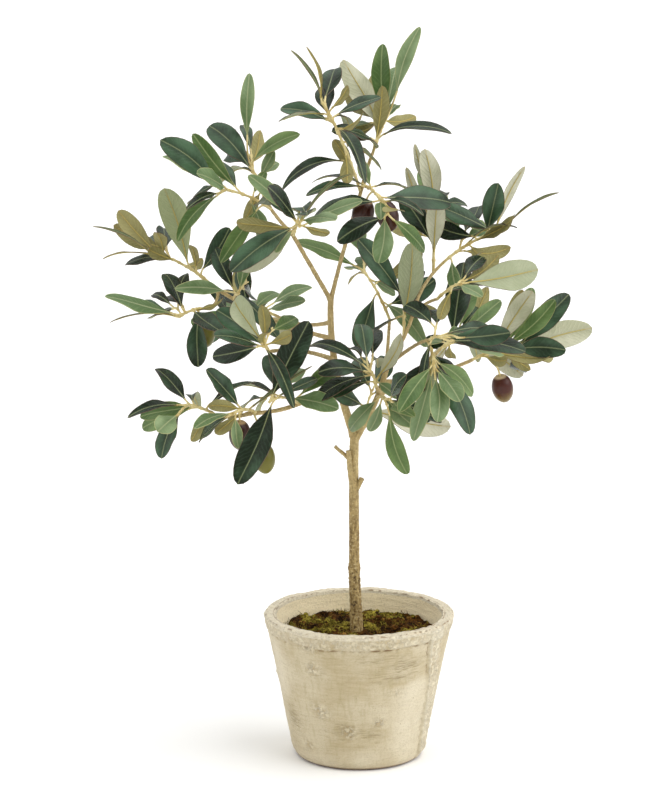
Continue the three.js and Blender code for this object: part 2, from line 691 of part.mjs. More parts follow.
// The seeded rule: a leaf or olive is tried again with new draws until it fits, or is left out.
function growPart(mass, { kind, aim, tilt, turn }, masses, grown) {
  const { draws } = mass;
  const t = firstNode + (1 - firstNode) * turn;
  const node = mass.curve.getPoint(t);
  const stemDirection = mass.curve.getTangent(t);
  const isOlive = kind in oliveStalks;
  for (let k = 0; k < tries; k++) {
    const way = radians(aim + draws.between(-aimSpread, aimSpread) * (1 + k * aimWiden));
    mass.front = -mass.front;
    const depth = mass.front * radians(draws.between(...tilt));
    const direction = new THREE.Vector3(
      Math.cos(way) * Math.cos(depth),
      Math.sin(depth),
      Math.sin(way) * Math.cos(depth),
    );
    const part = isOlive
      ? makeOlive(kind, node, direction, draws)
      : makeLeaf(kind, node, stemDirection, direction, draws);
    if (isOlive ? oliveFits(part, mass, grown) : leafFits(part, mass, masses, grown)) {
      mass.parts.push(part);
      (isOlive ? grown.olives : grown.leaves).push(part);
      grown.twigs.push(...pointsAlong(part.stalk, () => stalkRadii[0], mass.name));
      return;
    }
  }
}

// First the leaves of every mass's own list, from its stem's foot up, then those by the seeded rule alone.
function growFoliage(masses, grown) {
  for (const mass of masses) {
    mass.leaves.forEach(([kind, aim], index) => {
      growPart(mass, { kind, aim, tilt: depthTilt, turn: index / (mass.leaves.length - 1) }, masses, grown);
    });
  }
  const kinds = Object.keys(leafKinds);
  for (const mass of masses) {
    for (let k = 0; k < mass.more; k++) {
      const kind = kinds[Math.floor(mass.draws.next() * kinds.length)];
      const aim = mass.draws.between(0, 360);
      growPart(mass, { kind, aim, tilt: fillTilt, turn: mass.draws.next() }, masses, grown);
    }
  }
}

function massSolid(mass, limbs) {
  const parts = [tube(mass.curve, stemRadiusAt, twigSides, stemSteps)];
  for (const part of mass.parts) {
    if (part.centre) parts.push(tube(part.stalk, () => stalkRadii[0], twigSides, oliveStalkSteps), oliveSolid(part));
    else parts.push(leafSolid(part));
  }
  let solid = wasm.Manifold.union(parts);
  for (const limb of limbs) solid = solid.subtract(limbSolid(limb, clearance));
  return largestBody(solid);
}

// The tree

const limbs = makeLimbs();
const limbNamed = (name) => limbs.find((limb) => limb.name === name);

const masses = massPlan.map((row) => {
  const parent = limbNamed(row.from[0]);
  const start = parent.curve.getPoint(row.from[1]);
  const end = vector(row.tip);
  const lift = new THREE.Vector3(0, 0, stemBow * start.distanceTo(end));
  const curve = bowed(start, end, lift);
  return { ...row, start, end, curve, draws: new Draws(row.seed), front: row.seed % 2 ? 1 : -1, parts: [] };
});

const grown = { leaves: [], olives: [], twigs: [] };
for (const limb of limbs) grown.twigs.push(...pointsAlong(limb.curve, limb.radiusAt, limb.name));
for (const mass of masses) grown.twigs.push(...pointsAlong(mass.curve, stemRadiusAt, mass.name));
growFoliage(masses, grown);

// Colours
const finishes = {
  pot: { color: 0xd3c8ae, roughness: 0.9 },
  filling: { color: 0x4a4630, roughness: 1 },
  limb: { color: 0xa48d63, roughness: 0.8 },
  foliage: { color: 0x4d6b4c, roughness: 0.5 },
};

const tree = new THREE.Group();
tree.name = "potted_olive_tree";

function addPart(name, solid, finish) {
  const { vertProperties, triVerts } = solid.getMesh();
  const geometry = new THREE.BufferGeometry();
  geometry.setAttribute("position", new THREE.BufferAttribute(vertProperties, 3));
  geometry.setIndex(new THREE.BufferAttribute(triVerts, 1));
  const part = new THREE.Mesh(geometry, new THREE.MeshStandardMaterial({ ...finishes[finish], flatShading: true }));
  part.name = name;
  tree.add(part);
}

addPart("pot", makePot(), "pot");
addPart("filling", makeFilling(), "filling");

// Each limb is cut clear of those that stand before it.
const standing = [];
for (const limb of limbs) {
  let solid = limbSolid(limb);
  if (limb.name === "trunk") solid = wasm.Manifold.union([solid, ...trunkStubs.map(stubSolid)]);
  for (const earlier of standing) solid = solid.subtract(limbSolid(earlier, clearance));
  addPart(limb.name, largestBody(solid), "limb");
  standing.push(limb);
}

for (const mass of masses) addPart(mass.name, massSolid(mass, limbs), "foliage");

export default tree;
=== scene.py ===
import math

import bmesh
import bpy
import numpy as np
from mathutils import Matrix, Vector, noise


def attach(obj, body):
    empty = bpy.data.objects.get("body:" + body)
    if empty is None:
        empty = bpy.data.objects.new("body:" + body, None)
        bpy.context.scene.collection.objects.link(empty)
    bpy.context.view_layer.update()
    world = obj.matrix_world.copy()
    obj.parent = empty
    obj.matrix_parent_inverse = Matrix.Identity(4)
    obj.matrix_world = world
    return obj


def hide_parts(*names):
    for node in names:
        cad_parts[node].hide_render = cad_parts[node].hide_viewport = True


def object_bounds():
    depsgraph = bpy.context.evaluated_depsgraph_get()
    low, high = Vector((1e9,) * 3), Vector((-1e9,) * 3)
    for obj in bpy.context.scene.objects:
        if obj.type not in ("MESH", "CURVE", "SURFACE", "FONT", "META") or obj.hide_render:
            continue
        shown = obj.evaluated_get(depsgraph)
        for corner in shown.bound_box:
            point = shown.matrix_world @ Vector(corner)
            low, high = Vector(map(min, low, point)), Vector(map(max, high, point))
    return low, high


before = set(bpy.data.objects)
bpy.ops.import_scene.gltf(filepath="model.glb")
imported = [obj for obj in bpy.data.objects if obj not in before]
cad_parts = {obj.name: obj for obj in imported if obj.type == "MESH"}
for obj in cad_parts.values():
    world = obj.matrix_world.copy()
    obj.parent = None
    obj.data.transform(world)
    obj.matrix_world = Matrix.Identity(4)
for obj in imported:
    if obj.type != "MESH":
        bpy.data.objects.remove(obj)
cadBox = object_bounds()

# An artificial olive tree in a limewashed clay pot. The plans are in millimetres, the meshes in metres.
millimetre = 0.001

# Helpers


def linear(hexColour):
    shares = [int(hexColour[k:k + 2], 16) / 255 for k in (1, 3, 5)]
    return tuple(s / 12.92 if s <= 0.04045 else ((s + 0.055) / 1.055) ** 2.4 for s in shares) + (1.0,)


def perMetre(sizeMm):
    return 1000 / sizeMm


def towards(bearing, rise):  # both in degrees
    flat = math.cos(math.radians(rise))
    return (flat * math.cos(math.radians(bearing)), flat * math.sin(math.radians(bearing)),
            math.sin(math.radians(rise)))


def newMaterial(name):
    material = bpy.data.materials.new(name)
    material.use_nodes = True
    material.node_tree.nodes.clear()
    return material


def addNode(material, kind, values={}, **settings):  # a value that is another node's socket is linked
    node = material.node_tree.nodes.new("ShaderNode" + kind)
    for name, value in settings.items():
        setattr(node, name, value)
    for socket, value in values.items():
        if isinstance(value, bpy.types.NodeSocket):
            material.node_tree.links.new(value, node.inputs[socket])
        else:
            node.inputs[socket].default_value = value
    return node


def newObject(name, data):
    piece = bpy.data.objects.new(name, data)
    bpy.context.scene.collection.objects.link(piece)
    return piece


def meshFrom(name, shaped):
    mesh = bpy.data.meshes.new(name)
    shaped.to_mesh(mesh)
    shaped.free()
    return mesh


def keepValues(mesh, name, values):  # one value for each point, for the materials to read
    mesh.attributes.new(name, "FLOAT", "POINT").data.foreach_set("value", values)


def placePiece(piece, slotName, *nodes):
    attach(piece, "root")
    if nodes:
        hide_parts(*nodes)


def smooth(value, low, high):
    share = np.clip((value - low) / (high - low), 0, 1)
    return share * share * (3 - 2 * share)


def bell(value, width):
    return np.exp(-((value / width) ** 2))


# Camera, floor and light

photo = {"height": 800, "focalPixels": 3167, "sensor": 36}
cameraPlace = {"x": -19.6, "distance": 2600, "height": 863, "pitch": 12.04, "farthest": 80}
studio = {
    "sky": "#ffffff",
    "skyStrength": 0.5,
    "floorSize": 60,
    "floor": "#fbfbfa",
    "suns": [  # name, bearing, height, strength and spread: large soft boxes, far off
        ("keyLight", -17, 44, 2.25, 70),
        ("leftLight", 192, 38, 0.95, 70),
        ("backLight", 95, 64, 0.7, 60),
    ],
}

camera = newObject("camera", bpy.data.cameras.new("camera"))
camera.data.sensor_fit = "VERTICAL"
camera.data.sensor_height = photo["sensor"]
camera.data.lens = photo["sensor"] * photo["focalPixels"] / photo["height"]
camera.data.clip_end = cameraPlace["farthest"]
camera.location = Vector((cameraPlace["x"], -cameraPlace["distance"], cameraPlace["height"])) * millimetre
camera.rotation_euler = (math.radians(90 - cameraPlace["pitch"]), 0, 0)
bpy.context.scene.camera = camera
bpy.context.scene.view_settings.view_transform = "Standard"

world = bpy.data.worlds.new("studio")
world.use_nodes = True
world.node_tree.nodes["Background"].inputs["Color"].default_value = linear(studio["sky"])
world.node_tree.nodes["Background"].inputs["Strength"].default_value = studio["skyStrength"]
bpy.context.scene.world = world

for lampName, bearing, height, strength, spread in studio["suns"]:
    lamp = newObject(lampName, bpy.data.lights.new(lampName, "SUN"))
    lamp.data.energy = strength
    lamp.data.angle = math.radians(spread)
    lamp.rotation_euler = Vector(towards(bearing, height)).to_track_quat("Z", "Y").to_euler()

floorShape = bmesh.new()
bmesh.ops.create_grid(floorShape, x_segments=1, y_segments=1, size=studio["floorSize"] / 2)
floor = newObject("floor", meshFrom("floor", floorShape))
paper = newMaterial("paper roll, matt")  # a plain white sheet with no shine
paperShader = addNode(paper, "BsdfPrincipled", {"Base Color": linear(studio["floor"]), "Roughness": 1.0})
addNode(paper, "OutputMaterial", {"Surface": paperShader.outputs[0]})
floor.data.materials.append(paper)
print("studio set")

# Materials


def patches(material, place, size, low, high, most=1, detail=3, roughness=0.5, stretch=None, shift=(0, 0, 0)):
    # Blotches about size mm across, 0 where their noise is low and most where it is high
    if stretch:
        turned = {"Vector": place, "Scale": stretch, "Location": shift}
        place = addNode(material, "Mapping", turned).outputs[0]
    cloud = addNode(material, "TexNoise", {
        "Vector": place, "Scale": perMetre(size), "Detail": detail, "Roughness": roughness}).outputs["Fac"]
    share = {"Value": cloud, "From Min": low, "From Max": high, "To Max": most}
    return addNode(material, "MapRange", share).outputs[0]


def coated(material, body, coats):  # washes of colour over the body, each with its share
    for share, colour in coats:
        mixed = {"Fac": share, "Color1": body, "Color2": linear(colour)}
        body = addNode(material, "MixRGB", mixed).outputs[0]
    return body


def finished(material, body, height, strength, depth, surface):  # the relief is depth mm deep
    bump = addNode(material, "Bump", {"Height": height, "Strength": strength, "Distance": depth * millimetre})
    shader = addNode(material, "BsdfPrincipled", {"Base Color": body, "Normal": bump.outputs[0], **surface})
    addNode(material, "OutputMaterial", {"Surface": shader.outputs[0]})
    return material


def mouldedBark():
    # Polyethylene over wire, moulded from real bark, washed with brown: matt, dark flecks and pale ridges
    m = newMaterial("polyethylene bark, moulded and washed")
    place = addNode(m, "TexCoord").outputs["Object"]
    height = addNode(m, "SeparateXYZ", {"Vector": place}).outputs["Z"]
    streak = patches(m, place, 2.0, 0.36, 0.66, detail=4, stretch=(1, 1, 0.22))  # streaks run up the stem
    bands = [addNode(m, "MapRange", {
        "Value": height, "From Min": low, "From Max": high, "To Min": below, "To Max": above}).outputs[0]
        for low, high, below, above in ((0.2, 0.255, 0, 0.5), (0.162, 0.167, 0.4, 0), (0.17, 0.3, 0.6, 0.15))]
    aloft, atFoot, upStem = bands
    toneShift = addNode(m, "Math", {0: atFoot, 1: upStem}, operation="ADD").outputs[0]
    fleck = patches(m, place, 2.1, 0.47, 0.37, roughness=0.6)
    fleck = addNode(m, "Math", {0: fleck, 1: toneShift}, operation="MULTIPLY").outputs[0]
    ridge = patches(m, place, 2.1, 0.57, 0.66, 0.65, roughness=0.6)
    body = coated(m, linear("#836b3d"), [
        (streak, "#b89e67"), (aloft, "#d0ba85"), (fleck, "#4f3d24"), (ridge, "#dccb9c")])
    grain = patches(m, place, 2.1, 0, 1, roughness=0.6)
    rough = addNode(m, "Math", {0: grain, 1: 1.6, 2: streak}, operation="MULTIPLY_ADD").outputs[0]
    return finished(m, body, rough, 0.7, 0.6, {"Roughness": 0.78, "IOR": 1.5})


def twigPlastic():
    # Soft polyethylene twigs in pale straw, moulded: satin, a little browner in patches
    m = newMaterial("polyethylene twigs, moulded")
    place = addNode(m, "TexCoord").outputs["Object"]
    body = coated(m, linear("#dfcf94"), [(patches(m, place, 9, 0.4, 0.64), "#bda767")])
    grain = patches(m, place, 0.8, 0, 1, detail=2)
    return finished(m, body, grain, 0.35, 0.2, {"Roughness": 0.55, "IOR": 1.5})


def leafCloth(name, printed):
    # Polyester cloth, printed, heat-pressed and sized with latex: satin, a little mottled, the mottling
    # partly a painted sheen, with faint veins and painted shade along the fold beside the midrib
    dark, light, ribColour, veinColour, veins, roughness, coat, shine, foldShadeShare, mottleAndSheen = printed
    m = newMaterial(name)
    span = addNode(m, "UVMap", uv_map="span").outputs[0]  # centimetres along and across the blade
    place = addNode(m, "TexCoord").outputs["Object"]
    parts = addNode(m, "SeparateXYZ", {"Vector": span})
    across = addNode(m, "Math", {0: parts.outputs["Y"]}, operation="ABSOLUTE").outputs[0]
    run = addNode(m, "Math", {0: across, 1: -1.2, 2: parts.outputs["X"]}, operation="MULTIPLY_ADD")
    waver = patches(m, place, 8, 0, 1, detail=2)  # the veins slant towards the tip, and waver
    run = addNode(m, "Math", {0: waver, 1: 0.9, 2: run.outputs[0]}, operation="MULTIPLY_ADD").outputs[0]
    veinWay = addNode(m, "CombineXYZ", {"X": run}).outputs[0]
    vein = addNode(m, "TexWave", {"Vector": veinWay, "Scale": 0.66}, wave_profile="SIN").outputs["Fac"]
    vein = addNode(m, "MapRange", {"Value": vein, "From Min": 0.6, "To Max": veins}).outputs[0]
    # lighter blotches in the light colour: mottled print, and partly a painted sheen
    patch = patches(m, place, 23, 0.35, 0.65, detail=4)
    tone = addNode(m, "Attribute", attribute_name="tone").outputs["Fac"]  # lighter or darker, for each leaf
    blotchesAndSheen = {0: patch, 1: mottleAndSheen, 2: tone}
    patch = addNode(m, "Math", blotchesAndSheen, operation="MULTIPLY_ADD", use_clamp=True).outputs[0]
    # painted shade: the blade is darker along the fold beside the midrib, in colour and in value
    foldShade, besideRib = [addNode(m, "MapRange", {
        "Value": across, "From Min": near, "From Max": far, "To Min": most, "To Max": 0}).outputs[0]
        for near, far, most in ((0.06, 0.5, foldShadeShare), (0.03, 0.1, 0.3))]
    body = coated(m, linear(dark), [(patch, light), (vein, veinColour), (foldShade, dark)])
    body = addNode(m, "HueSaturation", {"Value": 0.8, "Fac": foldShade, "Color": body}).outputs[0]
    body = coated(m, body, [(besideRib, ribColour)])
    weave = patches(m, place, 0.9, 0, 1, detail=2)  # threads 0.2 mm apart, drawn coarser so that they show
    press = addNode(m, "Math", {0: vein, 1: 3.5, 2: weave}, operation="MULTIPLY_ADD").outputs[0]
    return finished(m, body, press, 0.7, 0.35, {
        "Roughness": roughness, "IOR": 1.45, "Specular IOR Level": shine,
        "Coat Weight": coat, "Coat Roughness": 0.3})


def pressedPlastic(name, colour, roughness):
    # The raised midrib or the hot-cut margin of a leaf: a thin satin line, a little uneven in tone
    m = newMaterial(name)
    place = addNode(m, "TexCoord").outputs["Object"]
    shade = addNode(m, "HueSaturation", {
        "Value": 0.8, "Fac": patches(m, place, 7, 0, 1, detail=2), "Color": linear(colour)}).outputs[0]
    shader = addNode(m, "BsdfPrincipled", {"Base Color": shade, "Roughness": roughness, "IOR": 1.48})
    addNode(m, "OutputMaterial", {"Surface": shader.outputs[0]})
    return m


def oliveSkin(name, look):
    # Polystyrene olives, moulded and airbrushed: smooth and shiny, with the colour turning towards the tip
    m = newMaterial(name)
    along = addNode(m, "Attribute", attribute_name="along").outputs["Fac"]  # 0 at the tip, 1 at the stalk
    place = addNode(m, "TexCoord").outputs["Object"]
    cloud = patches(m, place, 13, 0, 1)
    share = addNode(m, "Math", {0: cloud, 1: 0.5, 2: along}, operation="MULTIPLY_ADD").outputs[0]
    low, high = look["turn"]
    share = addNode(m, "MapRange", {"Value": share, "From Min": low, "From Max": high}).outputs[0]
    cap = addNode(m, "MapRange", {"Value": along, "From Min": 0.9, "From Max": 0.95}).outputs[0]
    body = coated(m, linear(look["tip"]), [(share, look["body"]), (cap, look["cap"])])
    dot = patches(m, place, 1.6, 0, 1, detail=1)  # hardly any unevenness
    return finished(m, body, dot, 0.15, 0.3, {
        "Roughness": 0.3, "IOR": 1.45, "Specular IOR Level": 0.35, "Coat Weight": 0.04})


def limewashedClay():
    # Fired clay under a thick brushed limewash: chalky, crumbly where it is thick, brown where it has worn.
    # Painted shade sits in its grooves and around its crumbs; painted highlights lie on raised plaster, the
    # rim top, the inner wall and two tall side patches
    m = newMaterial("clay, thrown and limewashed")
    place = addNode(m, "TexCoord").outputs["Object"]
    height = addNode(m, "SeparateXYZ", {"Vector": place}).outputs["Z"]
    relief, toneShift, plaster = [
        addNode(m, "Attribute", attribute_name=name).outputs["Fac"]
        for name in ("relief", "toneShift", "plaster")]
    scratched = addNode(m, "Math", {0: toneShift, 1: -0.5}, operation="MULTIPLY").outputs[0]
    soiled = addNode(m, "Math", {0: toneShift, 1: scratched}, operation="MAXIMUM").outputs[0]
    streak = patches(m, place, 17, 0.35, 0.65, detail=7, roughness=0.66, stretch=(1, 1, 8))
    thin = patches(m, place, 10, 0, 1, detail=6, roughness=0.7, stretch=(1, 1, 19), shift=(0.2, 0.1, 0.4))
    thin = addNode(m, "Math", {0: soiled, 1: 0.2, 2: thin}, operation="MULTIPLY_ADD").outputs[0]
    # above 0 the wash is thin; below 0 it is thick and pale, and on the rim top, the inner wall and two tall
    # side patches it is painted light
    thin, paleWashAndPaintedLight, paintedLightInside, wearAndGrooveShade, raisedHighlight, foot = [
        addNode(m, "MapRange", {"Value": value, "From Min": low, "From Max": high, "To Max": most}).outputs[0]
        for value, low, high, most in (
            (thin, 0.585, 0.72, 0.9), (toneShift, 0, -0.6, 0.7), (toneShift, -0.7, -1, 0.8),
            (relief, -0.3, -0.8, 0.75), (relief, 0.6, 2.0, 0.6), (height, 0.0032, 0.0012, 0.9))]
    smudge, lump, crumbShadowAndWash = [
        addNode(m, "Math", {0: patches(m, place, *spots), 1: where}, operation="MULTIPLY").outputs[0]
        for where, spots in (
            (soiled, (7, 0.42, 0.64, 0.38, 4)), (plaster, (3.4, 0.5, 0.56, 1, 4, 0.55)),
            (plaster, (3.4, 0.485, 0.44, 0.42, 4, 0.55)))]
    lit = addNode(m, "Math", {0: lump, 1: 0.75}, operation="MULTIPLY").outputs[0]
    body = coated(m, linear("#b6a683"), [
        (streak, "#c5b796"),
        (patches(m, place, 34, 0.42, 0.6, 0.45, detail=4), "#d8ceb4"),  # paler clouds
        (thin, "#8b7a58"),
        (smudge, "#968767"),
        (patches(m, place, 3.4, 0.52, 0.66, 0.3, stretch=(1, 1, 0.12)), "#a8986f"),  # upright brush marks
        (paleWashAndPaintedLight, "#f1e8d2"),
        # painted light: the inner wall is lightened to offset its shade
        (paintedLightInside, "#f9e9c2"),
        (lit, "#ebdfc1"),
        # painted shadow around each crumb of plaster, partly a brown wash in the crevices
        (crumbShadowAndWash, "#a0855a"),
        # brown where the relief is low: wear on the rubbed edges and thin places, painted shade in the
        # grooves
        (wearAndGrooveShade, "#80603a"),
        # painted highlight on the raised relief: ledge, seam bead and plaster
        (raisedHighlight, "#e6dec8"),
        (patches(m, place, 2.4, 0.31, 0.23, 0.55), "#8d7850"),  # pits
        (foot, "#6b4a30"),
        (patches(m, place, 1.4, 0.5, 0.68, 0.35, 4, 0.6), "#a6946c"),  # the grain of the chalk
    ])
    chalk = patches(m, place, 1.4, 0, 1, 1, 4, 0.6)
    grit = addNode(m, "Math", {0: streak, 1: 0.5, 2: chalk}, operation="MULTIPLY_ADD").outputs[0]
    grit = addNode(m, "Math", {0: lump, 1: 2.6, 2: grit}, operation="MULTIPLY_ADD").outputs[0]
    return finished(m, body, grit, 0.8, 0.6, {
        "Roughness": 0.92, "IOR": 1.45, "Sheen Weight": 0.16, "Sheen Roughness": 0.5})


def mossFibre(name, look):
    # Dried moss and peat crumbs, glued: rough and matt, olive tufts among dark brown
    m = newMaterial(name)
    place = addNode(m, "TexCoord").outputs["Object"]
    clump, (dark, light, shadow) = patches(m, place, look["clump"], *look["turn"]), look["colours"]
    between = patches(m, place, 1.8, 0.56, 0.4, 0.8, detail=4)
    body = coated(m, linear(dark), [(clump, light), (between, shadow)])
    crumb = patches(m, place, 1.8, 0, 1, detail=4)
    return finished(m, body, crumb, 0.9, 1.2, {"Roughness": 1.0, "IOR": 1.45, "Specular IOR Level": 0.15})


# Trunk and limbs, by the source's plan

potShape = {"rimRadius": 80, "baseRadius": 55.5, "height": 124, "wall": 9, "floor": 9, "footRound": 6}
soilHeight = 106.3
trunkShape = {
    "foot": (-2.5, 0), "fork": (-4, 0, 278), "flareRadius": 5.6, "flareHeight": 40, "lowerRadius": 4.9,
    "collarRadius": 5.5, "collarHeight": 57, "collarLength": 5, "upperRadius": 4.5, "forkRadius": 3.9,
}
trunkStubs = [  # height above the soil, bearing, rise, length, radius
    (124, -32, 60, 9, 2.2),
    (147, 190, 43, 19.5, 1.5),
]
limbPlan = [  # name, parent, fraction of its length, end, bow, radii
    ("leader", "trunk", 1, (-24, 8, 392), (-6, 0, 0), (3.5, 2.5)),
    ("leader_left", "leader", 1, (-56, -8, 451), (0, 0, 0), (1.9, 1.7)),
    ("leader_right", "leader", 1, (3, 6, 490), (-1, 0, 0), (1.8, 1.6)),
    ("right_stem", "trunk", 0.98, (24, -8, 343), (3, 0, -2), (2.9, 2.2)),
    ("bough_crown", "leader_right", 1, (11, 16, 515), (0, 0, 2), (1.5, 1.3)),
    ("bough_far_left", "leader", 0.72, (-124, 34, 400), (0, 0, -6), (1.9, 1.5)),
    ("bough_hanging", "bough_far_left", 0.95, (-130, 2, 386), (3, 0, -4), (1.2, 1)),
    ("bough_left_centre", "leader", 0.56, (-75, -62, 362), (0, 0, 4), (1.9, 1.5)),
    ("bough_low_left", "leader", 0.4, (-90, -40, 306), (0, 0, -7), (2, 1.7)),
    ("bough_low_left_tip", "bough_low_left", 1, (-118, -50, 306), (0, 0, -2), (1.6, 1.4)),
    ("bough_right_high", "right_stem", 1, (46, 10, 384), (2, 0, -2), (1.7, 1.5)),
    ("bough_right_top", "bough_right_high", 1, (69, 38, 417), (-3, 0, 1), (1.5, 1.3)),
    ("bough_right_mid", "bough_right_high", 0.92, (64, -30, 400), (0, 0, 2), (1.4, 1.2)),
    ("bough_right_front", "right_stem", 0.94, (57, -62, 372), (3, 0, 5), (1.6, 1.3)),
    ("bough_far_right", "right_stem", 0.76, (95, 14, 340), (0, 0, -4), (1.9, 1.5)),
    ("bough_centre", "right_stem", 0.66, (14, -24, 325), (0, 0, -2), (1.8, 1.5)),
    ("bough_inner_back", "right_stem", 0.87, (26, 50, 368), (0, 0, -3), (1.6, 1.3)),
    ("bough_back_right", "right_stem", 0.6, (70, 80, 336), (0, 0, -5), (1.8, 1.4)),
    ("bough_back_left", "leader", 0.84, (-72, 80, 366), (0, 0, -5), (1.8, 1.4)),
    ("bough_left_high", "leader_left", 1, (-80, 40, 473), (0, 0, -2), (1.6, 1.4)),
]


def pointOn(curve, t):
    t = np.asarray(t, float)[..., None]
    start, control, end = curve
    return (1 - t) * (1 - t) * start + 2 * (1 - t) * t * control + t * t * end


def wayOf(curve, t):
    step = pointOn(curve, min(t + 1e-4, 1)) - pointOn(curve, max(t - 1e-4, 0))
    return step / np.linalg.norm(step)


def bowed(start, end, bow):
    return np.array([start, (start + end) * 0.5 + 2 * np.asarray(bow, float), end])


def lengthOf(curve):
    return np.linalg.norm(np.diff(pointOn(curve, np.linspace(0, 1, 201)), axis=0), axis=1).sum()


def trunkRadius(t):
    s = trunkShape
    height = t * (s["fork"][2] - soilHeight)
    if height < s["flareHeight"]:
        low = 1 - height / s["flareHeight"]
        return s["lowerRadius"] + (s["flareRadius"] - s["lowerRadius"]) * low * low
    fromCollar = height - s["collarHeight"]
    bulge = max(0, 1 - abs(fromCollar) / s["collarLength"])
    if fromCollar < 0:
        return s["lowerRadius"] + (s["collarRadius"] - s["lowerRadius"]) * bulge
    share = fromCollar / (s["fork"][2] - soilHeight - s["collarHeight"])
    taper = (s["forkRadius"] - s["upperRadius"]) * share
    return s["upperRadius"] + taper + (s["collarRadius"] - s["upperRadius"]) * bulge


def makeLimbs():
    soil = np.array([*trunkShape["foot"], soilHeight])
    fork = np.array(trunkShape["fork"], float)
    lean = np.array([soil[0], soil[1], (soil[2] + fork[2]) / 2])
    limbs = {"trunk": {"curve": np.array([soil, lean, fork]), "radius": trunkRadius}}
    for name, parent, fraction, end, bow, (foot, tip) in limbPlan:
        curve = bowed(pointOn(limbs[parent]["curve"], fraction), np.array(end, float), bow)
        limbs[name] = {"curve": curve, "radius": lambda t, foot=foot, tip=tip: foot + (tip - foot) * t}
    return limbs


# Foliage, by the source's seeded rule

leafKinds = {  # length, width, droop, fold, stalk, roll, and which side or way the blade turns
    "broad": (67, 23, 0.1, 10, 8, 16, ""),
    "dark": (43, 18, 0.14, 14, 7, 26, ""),
    "arched": (58, 13, 0.5, 20, 8, 22, "skyward"),
    "slim": (44, 11, 0.3, 22, 7, 25, "skyward"),
    "green": (58, 16, 0.12, 14, 9, 20, ""),
    "light": (53, 14.5, 0.1, 14, 11, 18, ""),
    "wand": (58, 14, 0.08, 16, 24, 14, ""),
    "oval": (41, 19, 0.1, 12, 8, 16, ""),
    "bud": (26, 11, 0.1, 15, 6, 20, ""),
    "young": (58, 4.6, 0.22, 30, 5, 30, "skyward"),
    "turned": (64, 24, 0.08, 9, 7, 15, "under"),
    "silver": (55, 18, 0.08, 10, 7, 16, "under"),
    "sliver": (52, 8.5, 0.12, 12, 8, 22, "under"),
    "ochre": (48, 16, 0.16, 12, 7, 22, "under"),
    "curled": (27, 11, 0.22, 18, 6, 32, "under"),
}
oliveStalks = {"olive": 9, "hanging_olive": 27}
oliveShape = {
    "radius": 9.2, "length": 26, "stalkSpread": (0.85, 1.1), "lean": 0.35, "out": 0.7, "down": 0.5,
    "bend": 0.75, "sunk": 3,
}
